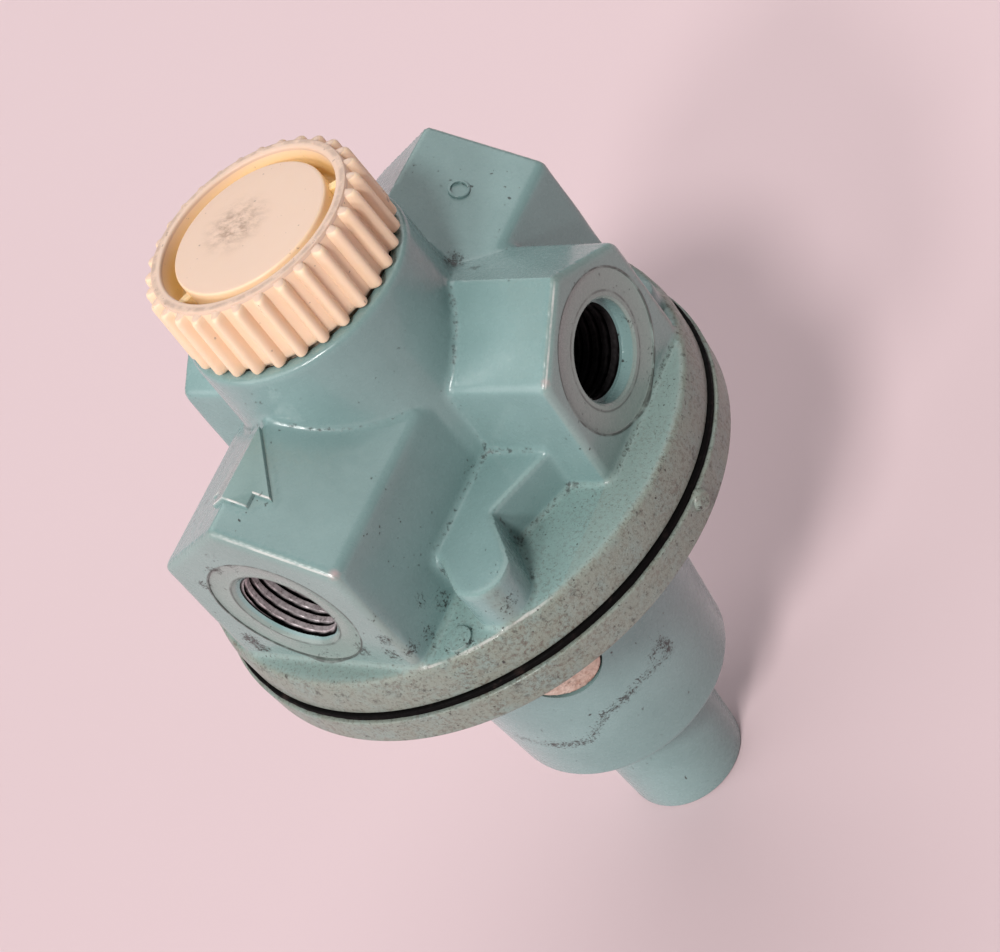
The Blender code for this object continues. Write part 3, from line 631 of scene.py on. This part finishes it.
def metal(name, dark, light, rough, scale=240):
    look = Look(name, Metallic=1.0)
    cloud = look.noise(scale, 4, 0.6)
    lines = look.noise(900, 3, 0.6, stretch=(1, 1, 4))
    colour = look.mix(look.step(cloud, 0.3, 0.7), dark, light)
    look.set(Base_Color=colour, Roughness=look.step(lines, 0.3, 0.7, rough - 0.08, rough + 0.10),
             Normal=look.bump(lines, 0.03, 0.4))
    return look.mat


PAINT = teal_paint()
METAL = machined_metal()
CREAM = cream_plastic()
RUBBER = black_rubber()
BRONZE = porous_bronze()
BRASS = metal("brass", rgb(150, 116, 62), rgb(196, 160, 96), 0.32)
STEEL = metal("zinc_steel", rgb(134, 134, 136), rgb(188, 188, 190), 0.36)


def dress(ob, slot, mats, *nodes):
    """Give a piece its materials and hide the solids that it replaces; slot is not used."""
    ob.data.materials.clear()
    for mat in mats:
        ob.data.materials.append(mat)
    if nodes:
        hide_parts(*nodes)


def piece(ob, body, slot, mats, *nodes):
    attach(ob, body)
    dress(ob, slot, mats, *nodes)


# Body casting: the solid with its ports filled, rounded as a casting, then machined
VOXEL = 0.45
EJECTOR = (19.0, -29.5, FLANGE_TOP)
CAST_MARK = (7.2, 25.1, 103.9)


def section(port, far, inset):
    """Roof-shaped outline of a port boss at a distance from the axis."""
    grow = DRAFT * (port.length - far) / (port.length - 2) - inset
    half, side = port.across / 2 + grow, port.across / math.sqrt(3) + grow
    low = FLANGE_TOP + 1.2 - PORT_Z
    spread = WALL_DRAFT * (side / 2 - low) / (side / 2 + PORT_Z - FLANGE_TOP + 2.5)
    profile = [(half + spread, low, 0), (half, side / 2, 0.9), (0, side, 0.15), (-half, side / 2, 0.9),
               (-half - spread, low, 0)]
    return [(x, y, far) for x, y in soften(profile)]


def boss(port):
    """Port boss with crisper edges than the solid and a rounded end."""
    rings = [section(port, port.length - back, inset) for back, inset in
             ((port.length - BOSS_ROOT, 0), (0.9, 0), (0.3, 0.25), (0, 0.85))]
    root, tip = [(0, 0, BOSS_ROOT)], [(0, 0, port.length)]
    return skin("boss", [root] + rings + [tip], place=port_place(port))


def plug(port):
    """Fills a port, so that its edge isn't rounded with the casting."""
    inner, wide = port.length - PORT_DEPTH - 0.3, SPOT_R + 0.4
    rings = [around(r, z, 64) for r, z in
             ((0, inner), (wide, inner), (wide, port.length), (0, port.length))]
    return skin("plug", rings, place=port_place(port))


def sharpen(mesh):
    """Bring the ridges of the bosses back up to their crest."""
    co = positions(mesh)
    for port in PORTS:
        local = in_port(co, port)
        side = port.across / math.sqrt(3) + DRAFT * (port.length - local[:, 2]) / (port.length - 2)
        gap = side - np.abs(local[:, 0]) / math.sqrt(3) - local[:, 1]
        near = (gap > 0) & (gap < 0.8) & (np.abs(local[:, 0]) < port.across / 2 - 1.8)
        near &= (local[:, 2] > BOSS_ROOT + 1) & (local[:, 2] < port.length - 0.7)
        co[near, 2] += gap[near]
    mesh.vertices.foreach_set("co", (co * MM).astype(np.float32).ravel())
    mesh.update()


def arrow_outline(grow=0.0):
    """Outline of the flow arrow from its tip round, seen from above."""
    tip = -(NECK_R + ARROW_TIP - grow)
    back = -(NECK_R + ARROW_BACK + grow)
    tail = -(NECK_R + ARROW_TAIL + grow)
    wide, slim = ARROW_WIDE + 1.4 * grow, ARROW_SLIM + grow
    right = [(0, tip), (wide, back), (slim, back), (slim, tail), (0, tail)]
    return right + [(-x, y) for x, y in right[-2:0:-1]]


def roof_plate(name, outlines):
    """Solid over the inlet roof between outlines of (points, height over the roof)."""
    side = MAIN_AF / math.sqrt(3)
    verts = []
    for outline, lift in outlines:
        for x, y in outline:
            crest = side + DRAFT * (MAIN_L + y) / (MAIN_L - 2)
            verts.append((x, y, PORT_Z + crest - abs(x) / math.sqrt(3) + lift))
    n = len(outlines[0][0])
    top = len(verts) - n
    faces = [list(range(n // 2 + 1))[::-1], [0] + list(range(n // 2, n))[::-1]]
    for start in range(0, top, n):
        for j in range(n):
            i = (j + 1) % n
            faces.append([start + j, start + i, start + n + i, start + n + j])
    faces += [[top + k for k in range(n // 2 + 1)], [top] + [top + k for k in range(n // 2, n)]]
    return link(name, solid(name, verts, faces, split=True))


def raised_arrow():
    """Flow arrow astride the inlet ridge, pointing at the neck."""
    outline = arrow_outline()
    return roof_plate("arrow", [(outline, -1.5), (outline, 0.58), (arrow_outline(-0.1), 0.68)])


def arrow_room():
    """Takes the softened arrow of the solid off again."""
    half, near, far = 6.6, -17.6, -31.2
    box = [(0, near), (half, near), (half, far), (0, far), (-half, far), (-half, near)]
    return roof_plate("room", [(box, 0.03), (box, 5.0)])


def disc(radius, rise, place):
    """Low round mark of an ejector pin."""
    profile = [(0, -1.0, 0), (radius, -1.0, 0), (radius, rise, 0.12), (0, rise, 0)]
    return lathe("disc", profile, 40, place=place)


def ridge(radius, rise, place):
    """Raised round outline."""
    profile = [(radius - 0.45, -1.0, 0), (radius, -1.0, 0), (radius - 0.05, rise, 0.15),
               (radius - 0.4, rise, 0.15)]
    return lathe("ridge", profile, 40, loop=True, place=place)


def flange_rim():
    """Crisp lower edge of the flange."""
    inner, outer, low, high = FLANGE_R - 4, FLANGE_R + 0.02, PART_Z + 0.02, FLANGE_TOP - 1.2
    profile = [(inner, low, 0), (outer, low, 0.2), (outer, high - 1.2, 0), (FLANGE_R - 0.25, high, 0),
               (inner, high, 0)]
    return lathe("rim", profile, 360, loop=True)


def tilted(x, y, z, normal):
    place = Vector(normal).to_track_quat("Z", "Y").to_matrix().to_4x4()
    place.translation = (x, y, z)
    return place


def body_skin():
    bm = bmesh.new()
    bm.from_mesh(NODES["body_casting"].data)
    bmesh.ops.remove_doubles(bm, verts=bm.verts, dist=0.002 * MM)
    for port in PORTS:
        for extra in (plug(port), boss(port)):
            bm.from_mesh(extra.data)
            bpy.data.objects.remove(extra, do_unlink=True)
    mesh = bpy.data.meshes.new("body_skin")
    bm.to_mesh(mesh)
    bm.free()
    ob = link("body_skin", mesh)
    mod = ob.modifiers.new("cast", "REMESH")
    mod.mode = "VOXEL"
    mod.voxel_size = VOXEL * MM
    mod = ob.modifiers.new("round", "SMOOTH")
    mod.factor = 0.5
    mod.iterations = 3
    settle(ob)
    sharpen(ob.data)
    combine(ob, [arrow_room()], "DIFFERENCE")
    marks = [disc(1.9, 0.45, tilted(*EJECTOR, (0, 0, 1))),
             ridge(1.55, 0.35, tilted(*CAST_MARK, (0.5, 0, 0.866)))]
    combine(ob, [raised_arrow(), flange_rim()] + marks, "UNION")
    combine(ob, [port_cutter(port) for port in PORTS], "DIFFERENCE")
    bm = bmesh.new()
    bm.from_mesh(ob.data)
    bmesh.ops.dissolve_degenerate(bm, dist=0.0005 * MM, edges=bm.edges)
    bm.to_mesh(ob.data)
    bm.free()
    return ob


def zones(ob, places, chips, rounds=0):
    """Masks of a painted casting."""
    mesh = ob.data
    co = positions(mesh)
    out = np.hypot(co[:, 0], co[:, 1])
    dip = hollow(mesh, rounds)
    for port in PORTS:
        local = in_port(co, port)
        dip[(np.hypot(local[:, 0], local[:, 1]) < SPOT_R + 0.6)
            & (local[:, 2] > port.length - PORT_DEPTH - 3)] = 0
    # creases darken in the paint: dirt with painted shade, by how deep each vertex lies
    store(mesh, "crease_dirt_and_shade", smooth(dip, 0.05, 0.14))
    store(mesh, "edge", smooth(-dip, 0.08, 0.20))
    store(mesh, "wear", smooth(out, FLANGE_R - 1.3, FLANGE_R - 0.5) * (co[:, 2] > BARREL_TOP - 1))
    store(mesh, "chalk", (np.abs(co[:, 2] - FLANGE_TOP) < 0.6) * smooth(out, 19, 26))
    store(mesh, "grime", spots(co, places))
    store(mesh, "chip", spots(co, chips))


def thread_masks(mesh):
    """Bare metal for the faces inside the ports, and how dark their thread grooves are: dark residue with
    painted shade.
    """
    co = positions(mesh)
    groove_residue_and_shade = np.zeros(len(co))
    centre = np.empty(len(mesh.polygons) * 3, dtype=np.float32)
    mesh.polygons.foreach_get("center", centre)
    centre = centre.reshape(-1, 3) / MM
    bare = np.zeros(len(centre), dtype=np.int32)
    for port in PORTS:
        spot, end = port.length - SPOT_DEEP, port.length - PORT_DEPTH
        p = in_port(centre, port)
        bare |= ((p[:, 2] < spot - max(port.lead, port.chamfer * 0.8)) & (p[:, 2] > PORT_ZONE)
                 & (np.hypot(p[:, 0], p[:, 1]) < PORT_ZONE)).astype(np.int32)
        p = in_port(co, port)
        radius = np.hypot(p[:, 0], p[:, 1])
        deep = smooth(radius - crest_radius(p[:, 2], end), 0.05, 0.28)
        # painted shade: near black at the inner end of each thread and all through the gauge bores past
        # their lead
        deep = np.where(p[:, 2] < end + RUN_OUT, 1.0, deep)
        if port.lead:
            deep = np.maximum(deep, 0.97)
        near = (p[:, 2] < spot - 0.3) & (p[:, 2] > PORT_ZONE) & (radius < PORT_ZONE)
        groove_residue_and_shade[near] = deep[near]
    store(mesh, "groove_residue_and_shade", groove_residue_and_shade)
    mesh.polygons.foreach_set("material_index", bare)


# Patches of dirt and chips as (x, y, z, reach, strength)
BODY_DIRT = [
    # inlet face
    (-5.3, -33.8, 99.7, 2.0, 1.0), (-1.6, -33.8, 100.7, 1.6, 1.0), (-9.7, -34.1, 96.4, 2.0, 0.9),
    (-11.2, -34.1, 83.6, 3.0, 1.0), (-10.8, -34.1, 81.7, 2.6, 1.0), (14.4, -33.7, 90.8, 1.6, 0.8),
    (13.6, -34.1, 86.3, 2.4, 0.9), (7.5, -34.1, 83.4, 2.8, 0.9), (0.0, -34.1, 81.6, 3.4, 0.6),
    (12.6, -34.1, 83.0, 2.6, 0.9), (-3.0, -34.1, 103.0, 2.4, 0.55), (6.0, -34.1, 100.5, 2.0, 0.55),
    # foot of the inlet wall and the corner behind it
    (15.2, -33.0, 83.1, 2.4, 0.9), (15.4, -27.5, 85.6, 2.2, 0.8), (15.5, -25.1, 82.0, 2.8, 0.9),
    (15.6, -30.0, 81.6, 2.4, 0.85), (15.6, -21.0, 83.0, 2.8, 0.75), (15.6, -17.0, 84.0, 2.8, 0.65),
    (15.5, -8.9, 87.7, 3.6, 0.6), (15.5, -12.5, 85.0, 3.2, 0.6),
    # between neck and bosses
    (10.8, 14.0, 102.0, 3.0, 1.0), (15.3, 12.2, 102.5, 2.0, 0.9),
    # gauge boss
    (31.2, 14.1, 83.2, 2.6, 0.75), (31.7, 11.3, 80.5, 2.4, 0.7), (31.2, -1.1, 86.6, 1.2, 0.8),
    (31.2, 15.2, 88.6, 3.0, 0.7), (34.0, 11.0, 80.0, 3.0, 0.55), (35.0, 4.0, 80.0, 3.0, 0.5),
    (20.9, -2.9, 99.0, 1.0, 0.7),
    # screw boss
    *[(EJECTOR[0] + 2.0 * math.cos(a), EJECTOR[1] + 2.0 * math.sin(a), FLANGE_TOP, 0.9, 1.0)
      for a in range(7)],
    (26.9, -25.2, 83.2, 2.6, 0.75), (26.1, -26.3, 82.2, 2.2, 0.7), (27.3, -22.4, 83.5, 1.4, 0.7)]
BODY_CHIPS = [(14.2, -33.4, 99.5, 0.9, 1.0), (30.9, -3.2, 98.1, 0.8, 1.0)]

body = body_skin()
zones(body, BODY_DIRT, BODY_CHIPS, 6)
shade(body, 32)
piece(body, "housing", "teal_casting", [PAINT, METAL], "body_casting")
thread_masks(body.data)


# Bonnet
def refined(profile):
    """Profile with more points along it, closer together on the outside."""
    full = profile[:1]
    for (r, z, _), (r1, z1, reach) in zip(profile, profile[1:]):
        fine = 1.0 if r > 17 or r1 > 17 else 3.0
        parts = max(1, round(math.hypot(r1 - r, z1 - z) / fine))
        full += [(r + (r1 - r) * j / parts, z + (z1 - z) * j / parts, 0) for j in range(1, parts)]
        full.append((r1, z1, reach))
    return full


def bonnet_skin():
    outside = [(26.5, BONNET_TOP, 0), (BONNET_R, BONNET_TOP, 0.35), (BONNET_R - 0.2, BARREL_TOP, 0.75),
               (21.5, BARREL_TOP, 1.7), (18.32, TUBE_H, 1.1), (10.8, TUBE_H, 0.7), (9.75, 0, 0.5)]
    inside = [(6.4, 0, 0.4), (6.4, 10, 0.2), (4.3, 10, 0.2), (4.3, 28.5, 0), (15, 28.5, 0.6),
              (15.8, 69.9, 0.4), (26.5, 69.9, 0)]
    ob = lathe("bonnet_skin", refined(outside + inside), 240, loop=True)
    head, seat, low, high = 4.1, BARREL_TOP + SINK, BARREL_TOP - 3, BONNET_TOP + 3
    hole = [(0, low, 0), (head, low, 0), (head, seat, 0), (SCREW_HOLE, seat, 0), (SCREW_HOLE, high, 0),
            (0, high, 0)]
    tools = [lathe("hole", hole, 48, place=bolt_place(turn)) for turn in BOLT_TURNS]
    vent = [(0, 9, 0), (VENT_R - 1.1, 9, 0), (VENT_R - 1.1, VENT_SEAT, 0), (VENT_R + 0.3, VENT_SEAT, 0),
            (VENT_R + 0.3, 27, 0), (0, 27, 0)]
    tools.append(lathe("vent_hole", vent, 64, place=facing(VENT_TURN, 0, VENT_Z)))
    combine(ob, tools, "DIFFERENCE")
    lump = [(0, -1.2, 0), (1.55, -1.2, 0), (1.6, 0.2, 0.4), (1.1, 0.85, 0.4), (0.5, 0.75, 0.2), (0, 0.95, 0)]
    combine(ob, [lathe("lump", lump, 24, place=tilted(38.9, -1.0, 71.4, (0.97, -0.03, 0.15)))], "UNION")
    return ob


# A smear along the barrel, then the dirt round the lump on the rim
SMEAR = [(-3, -18.9, 35.6), (2.6, -18.9, 34.3), (7.9, -17.3, 34.0), (11.9, -15.2, 38.1), (16.7, -10.0, 39.8),
         (18.9, -4.2, 39.0), (19.1, -4.7, 42.2), (18.1, -7.5, 41.3)]
BONNET_DIRT = [(*(Vector(a).lerp(Vector(b), k / 4)), 2.0, 1.0 if j % 2 else 0.85)
               for j, (a, b) in enumerate(zip(SMEAR, SMEAR[1:])) for k in range(4)]
BONNET_DIRT += [(39.2, -2.3, 71.2, 1.1, 1.0), (39.3, -0.6, 70.0, 1.0, 1.0), (39.3, 0.8, 71.4, 0.8, 0.9),
                (40.0, -1.0, 71.4, 1.3, 0.7)]
bonnet = bonnet_skin()
zones(bonnet, BONNET_DIRT, [])
shade(bonnet)
piece(bonnet, "housing", "teal_casting", [PAINT], "bonnet_casting")


# Ribbed cap
def rib_ring(radius, z, amount):
    points = []
    for k in range(RIBS * RIB_POINTS):
        s = min(1.0, abs(k % RIB_POINTS / RIB_POINTS - 0.5) / (0.05 + 0.22 * amount))
        r = radius + RIB_H * amount * math.sqrt(1 - s * s)
        a = math.tau * k / (RIBS * RIB_POINTS)
        points.append(polar(r, a, z))
    return points


def thread_ring(z, count):
    """Level of the screw thread cut into the cap skirt, faded out at both ends."""
    low, high = CAP_THREAD
    fade = max(0.0, min(1.0, (z - low) / 0.6, (high - z) / 0.8))
    points = []
    for k in range(count):
        phase = (z / CAP_PITCH - k / count) % 1.0
        r = SKIRT_R - 0.55 * fade * min(1.0, max(0.0, abs(2 * phase - 1) * 1.6 - 0.4))
        points.append(polar(r, math.tau * k / count, z))
    return points


def skirt_rings(count):
    """Inside of the cap and its threaded skirt, down and up again to the foot of the ribs."""
    thick = 2.0
    bore = [(0, CAP_BORE_TOP), (SKIRT_R - thick, CAP_BORE_TOP), (SKIRT_R - thick, SKIRT_FOOT),
            (SKIRT_R - 0.5, SKIRT_FOOT - 0.5), (SKIRT_R, SKIRT_FOOT)]
    low, high = CAP_THREAD
    step = CAP_PITCH / 10
    seat = [(SKIRT_R, SKIRT_TOP), (CAP_SEAT_R, SKIRT_TOP), (CAP_SEAT_R, CAP_FOOT + 0.1)]
    return ([around(r, z, count) for r, z in bore]
            + [thread_ring(low + step * k, count) for k in range(1, round((high - low) / step))]
            + [around(r, z, count) for r, z in seat])


def wall_rings():
    """Ribbed wall as levels of (inset, height, share of the full rib)."""
    foot, top = CAP_FOOT, CAP_TOP
    low, high, levels = foot + 0.6, top - 1.4, 8
    side = [(0.5, foot, 0.62), (0.2, foot + 0.06, 0.82), (0.05, foot + 0.25, 0.95), (0, low, 1.0)]
    side += [(0.33 * k / levels, low + (high - low) * k / levels, 1.0) for k in range(1, levels + 1)]
    side += [(0.35, top - 1.0, 0.98), (0.37, top - 0.75, 0.9), (0.39, top - 0.56, 0.76),
             (0.41, top - 0.42, 0.55), (0.43, top - 0.33, 0.3), (0.46, top - 0.28, 0.0)]
    return [rib_ring(CAP_WALL_R - inset, z, amount) for inset, z, amount in side]


def moat_web(turn):
    """Low bridge across the moat."""
    low, high, half = MOAT_Z - 0.6, CAP_TOP - 1.6, 0.7
    near, far = DISC_R - 0.6, MOAT_R + 0.6
    outline = [(near, -half), (far, -half), (far, half), (near, half)]
    rings = [[(x, y * slim, z) for x, y in outline] for z, slim in ((low, 1), (high - 0.15, 1), (high, 0.7))]
    middle = (DISC_R + MOAT_R) / 2
    return skin("web", [[(middle, 0, low)]] + rings + [[(middle, 0, high)]],
                place=Matrix.Rotation(math.radians(turn), 4, "Z"))


def cap_skin():
    count = RIBS * RIB_POINTS
    top = CAP_TOP
    roof = [(CAP_WALL_R - 0.46, top - 0.28, 0), (CAP_WALL_R - 0.52, top - 0.08, 0.08),
            (CAP_WALL_R - 0.75, top, 0.16), (MOAT_R + 0.1, top - 0.02, 0.35), (MOAT_R - 0.1, top - 2.4, 0),
            (MOAT_R - 0.15, MOAT_Z, 0.5), (DISC_R + 0.15, MOAT_Z, 0.4), (DISC_R, top - 0.5, 0.45),
            (7.5, top - 0.38, 0), (4, top - 0.34, 0), (0, top - 0.33, 0)]
    rings = skirt_rings(count) + wall_rings() + [around(r, z, count) for r, z in soften(roof)[1:]]
    ob = skin("cap_skin", rings)
    combine(ob, [moat_web(turn) for turn in (38, -118)], "UNION")
    return ob


def cap_masks(mesh):
    """Ochre tint growing towards the floor of the moat, and darker rib feet: dirt with painted shade."""
    co = positions(mesh)
    out, z = np.hypot(co[:, 0], co[:, 1]), co[:, 2]
    in_moat = (out < MOAT_R + 0.2) * (out > DISC_R - 0.2) * (z > MOAT_Z - 0.5)
    store(mesh, "moat", smooth(CAP_TOP - 0.6 - z, 0.0, 1.5) * in_moat)
    # rib feet next to the neck darken: dirt with painted shade
    at_foot = (out > 13) * smooth(CAP_WALL_R + 0.2 - out, 0.0, 0.4)
    store(mesh, "foot", smooth(CAP_FOOT + 0.8 - z, 0.0, 0.7) * at_foot)


cap = cap_skin()
cap_masks(cap.data)
shade(cap)
piece(cap, "cap", "cream_cap", [CREAM], "ribbed_cap")


# Rubber edge between the flanges, over the rim of the diaphragm
def rubber_edge():
    """Ring with a slightly ragged outer face."""
    count, inner, coarse, fine = 480, 36.4, 9, 41
    rings = []
    for r, z in soften([(inner, EDGE_LOW, 0), (EDGE_R, EDGE_LOW, 0.3), (EDGE_R, EDGE_TOP, 0.35),
                        (inner, EDGE_TOP, 0)], 4):
        points = []
        for k in range(count):
            a = math.tau * k / count
            rag = noise.noise(polar(coarse, a, 0.3 * z)) * 0.07 + noise.noise(polar(fine, a, z)) * 0.05
            points.append(polar(r + (rag if r > inner + 0.6 else 0), a, z))
        rings.append(points)
    return skin("rubber_edge", rings, loop=True)


edge = rubber_edge()
shade(edge, 50)
piece(edge, "housing", "black_rubber", [RUBBER])


# Porous vent
def vent_skin():
    """Disc with a grainy, slightly domed face."""
    count, side_levels, face_levels, dome = 96, 8, 14, 0.25
    back, brim, face_r = VENT_SEAT + 0.3, VENT_FACE - 0.3, VENT_R - 0.4
    side = [(0, back), (VENT_R, back)]
    side += [(VENT_R, back + (brim - back) * k / side_levels) for k in range(1, side_levels + 1)]
    face = [(VENT_R - 0.12, VENT_FACE - 0.1), (face_r, VENT_FACE)]
    face += [(face_r * (1 - k / face_levels), VENT_FACE + dome * k / face_levels)
             for k in range(1, face_levels)]
    face.append((0, VENT_FACE + dome))
    rings = [around(r, z, count) for r, z in side]
    for r, z in face:
        rings.append([(x, y, z + 0.10 * noise.noise((2.1 * x, 2.1 * y, 3.0))
                       + 0.07 * noise.noise((5.3 * x, 5.3 * y, 7.0))) for x, y, z in around(r, z, count)])
    return skin("vent_skin", rings, place=facing(VENT_TURN, 0, VENT_Z))


vent = vent_skin()
shade(vent, 60)
piece(vent, "housing", "porous_bronze", [BRONZE], "vent_disc")


# Flange screws with a cross recess
def screw_skin(name, turn):
    place = bolt_place(turn)
    head_r, shank_r = 3.5, 1.75
    profile = [(0, 66.4, 0), (1.9, 66.45, 0.8), (head_r, 67.3, 1.1), (head_r, 69.2, 0.25),
               (shank_r, 69.2, 0.15), (shank_r, 80.4, 0.4), (1.2, 81.0, 0), (0, 81.0, 0)]
    ob = lathe(name, profile, 48, place=place)
    long, wide, mouth, floor_z = 1.9, 0.45, 65.2, 67.9
    outline = [(-long, -wide), (long, -wide), (long, wide), (-long, wide)]
    slot = [[(x * f, y, z) for x, y in outline] for z, f in ((mouth, 1.1), (floor_z, 0.55))]
    slot = [[(0, 0, mouth)]] + slot + [[(0, 0, floor_z)]]
    tools = [skin("recess", slot, place=place @ Matrix.Rotation(math.radians(quarter), 4, "Z"))
             for quarter in (20, 110)]
    combine(ob, tools, "DIFFERENCE")
    shade(ob)
    return ob


for k, turn in enumerate(BOLT_TURNS, 1):
    piece(screw_skin("screw_%d" % k, turn), "housing", "steel", [STEEL], "flange_screw_%d" % k)


# Pieces that change length when their joint moves
Coil = namedtuple("Coil", "radius wire low high turns")
RANGE_COIL = Coil(radius=11.0, wire=1.25, low=44.8, high=69.2, turns=5.0)
VALVE_COIL = Coil(radius=4.4, wire=0.5, low=106.53, high=117.7, turns=6.0)


def spring_skin(name, coil):
    """Wound wire with its end turns closed up."""
    turns, wire, sides = coil.turns, coil.wire, 14
    steps = round(48 * turns)
    lift = [0.0]
    for k in range(steps):
        t = turns * (k + 0.5) / steps
        lift.append(lift[-1] + 0.52 + 0.48 * float(smooth(min(t, turns - t), 0.7, 1.2)))
    rise = (coil.high - coil.low - 2 * wire) / lift[-1]
    path = [Vector(polar(coil.radius, math.tau * turns * k / steps, coil.low + wire + rise * h))
            for k, h in enumerate(lift)]
    rings = []
    for k, spot in enumerate(path):
        along = (path[min(k + 1, steps)] - path[max(k - 1, 0)]).normalized()
        out = Vector((spot.x, spot.y, 0)).normalized()
        across = along.cross(out)
        rings.append([spot + wire * (math.cos(a) * out + math.sin(a) * across)
                      for a in (math.tau * j / sides for j in range(sides))])
    ob = skin(name, [[path[0]]] + rings + [[path[-1]]])
    shade(ob, 50)
    return ob


def diaphragm_skin():
    """Moulded rubber disc with a rolled fold inside its clamped rim."""
    rim, bend, hole, face = 37.7, 26.9, 2.9, 71.7
    upper = [(hole, face, 0), (20.0, face, 0.8), (22.0, 71.4, 1.0), (24.0, 71.9, 1.2), (bend, CLAMP_Z, 0.9),
             (rim, CLAMP_Z, 0.15)]
    lower = [(rim, CLAMP_Z - RUBBER_T, 0.15), (bend, CLAMP_Z - RUBBER_T, 0.9), (24.2, 71.25, 1.2),
             (22.0, 70.75, 1.0), (20.0, face - 0.7, 0.8), (hole, face - 0.7, 0)]
    ob = lathe("diaphragm_skin", upper + lower, 160, loop=True)
    cutter = [(0, 71, 0), (SCREW_HOLE, 71, 0), (SCREW_HOLE, 75, 0), (0, 75, 0)]
    combine(ob, [lathe("hole", cutter, 32, place=bolt_place(turn)) for turn in BOLT_TURNS], "DIFFERENCE")
    shade(ob, 40)
    return ob


def giving(ob, mat, slot, node, end):
    """Piece that a joint's travel presses towards its fixed end; here it is only fixed to the housing with a
    mesh of its own, and its reach from that end is worked out but not used.
    """
    reach = max(abs(end - z) for z in positions(ob.data)[:, 2])
    piece(ob, "housing", slot, [mat], node)
    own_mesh(ob)


def sprung(ob, mat, slot, node):
    """Piece that stretches between a moving body at its low end and the housing at its high end; here it
    only gets its material, hides the solid it replaces and has its placement baked into its mesh.
    """
    dress(ob, slot, [mat], node)
    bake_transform(ob)


sprung(spring_skin("range_spring_skin", RANGE_COIL), STEEL, "steel", "range_spring")
giving(spring_skin("valve_spring_skin", VALVE_COIL), STEEL, "steel", "valve_spring",
       VALVE_COIL.high)
giving(diaphragm_skin(), RUBBER, "black_rubber", "diaphragm", CLAMP_Z)

# Solids that stay as they are get a finish of their own
BRASS_NODES = ("valve_seat", "valve_poppet", "relief_bush", "stem_guide")
RUBBER_NODES = ("diaphragm", "poppet_rubber", "seat_seal_ring", "cap_seal_ring")
for name, ob in NODES.items():
    mat = BRASS if name in BRASS_NODES else RUBBER if name in RUBBER_NODES else STEEL
    for part in ob.material_slots:
        part.material = mat


# Stage, with the camera fitted to the photograph
CAMERA_TURN = (52.723, 39.798, -38.894)    # azimuth, elevation and roll in degrees
CAMERA_AT = (0.18749, -0.13668, 0.26226)
LENS, SENSOR = 78.057, 36
FLOOR_HALF = 3.0
# Name, direction from the part, power, angle and colour of each distant lamp
LAMPS = [("key", (0.284, -0.6, 0.749), 1.62, 9, (1.0, 0.97, 0.95)),
         ("low", (0.2, -0.8, 0.55), 0.95, 8, (1.0, 0.97, 0.95)),
         ("left", (-0.45, -0.75, 0.48), 1.08, 50, (1.0, 0.97, 0.98)),
         ("back", (-0.3, 0.5, 0.81), 1.45, 70, (1.0, 0.98, 0.98))]


def floor():
    size = FLOOR_HALF
    mesh = bpy.data.meshes.new("floor")
    mesh.from_pydata([(-size, -size, 0), (size, -size, 0), (size, size, 0), (-size, size, 0)],
                     [], [(0, 1, 2, 3)])
    look = Look("pale_floor")
    cloud = look.noise(5, 4, 0.5)
    colour = look.mix(look.step(cloud, 0.3, 0.7), rgb(213, 190, 194), rgb(214, 191, 195))
    look.set(Base_Color=colour, Roughness=0.7, Normal=look.bump(look.noise(900, 3), 0.05, 0.2))
    mesh.materials.append(look.mat)
    ob = link("floor", mesh)


def lamp(name, toward, power, angle, colour):
    data = bpy.data.lights.new(name, "SUN")
    data.energy = power
    data.angle = math.radians(angle)
    data.color = colour
    ob = link(name, data)
    ob.rotation_euler = Vector(toward).to_track_quat("Z", "Y").to_euler()


def camera():
    az, el, roll = (math.radians(v) for v in CAMERA_TURN)
    back = Vector((math.cos(el) * math.sin(az), -math.cos(el) * math.cos(az), math.sin(el)))
    right = Vector((math.cos(az), math.sin(az), 0))
    up = right.cross(-back)
    across = math.cos(roll) * right + math.sin(roll) * up
    upward = math.cos(roll) * up - math.sin(roll) * right
    data = bpy.data.cameras.new("camera")
    data.lens = LENS
    data.sensor_width = SENSOR
    data.sensor_fit = "HORIZONTAL"
    data.clip_start = 0.01
    ob = link("camera", data)
    place = Matrix((across, upward, back)).transposed().to_4x4()
    place.translation = Vector(CAMERA_AT)
    ob.matrix_world = place
    bpy.context.scene.camera = ob


def sky():
    """Faint even light from all round."""
    world = bpy.data.worlds.new("studio")
    bpy.context.scene.world = world
    world.use_nodes = True
    light = world.node_tree.nodes["Background"]
    light.inputs["Color"].default_value = (1.0, 0.95, 0.97, 1)
    light.inputs["Strength"].default_value = 0.11


floor()
camera()
for values in LAMPS:
    lamp(*values)
sky()
bpy.context.scene.view_settings.view_transform = "Standard"
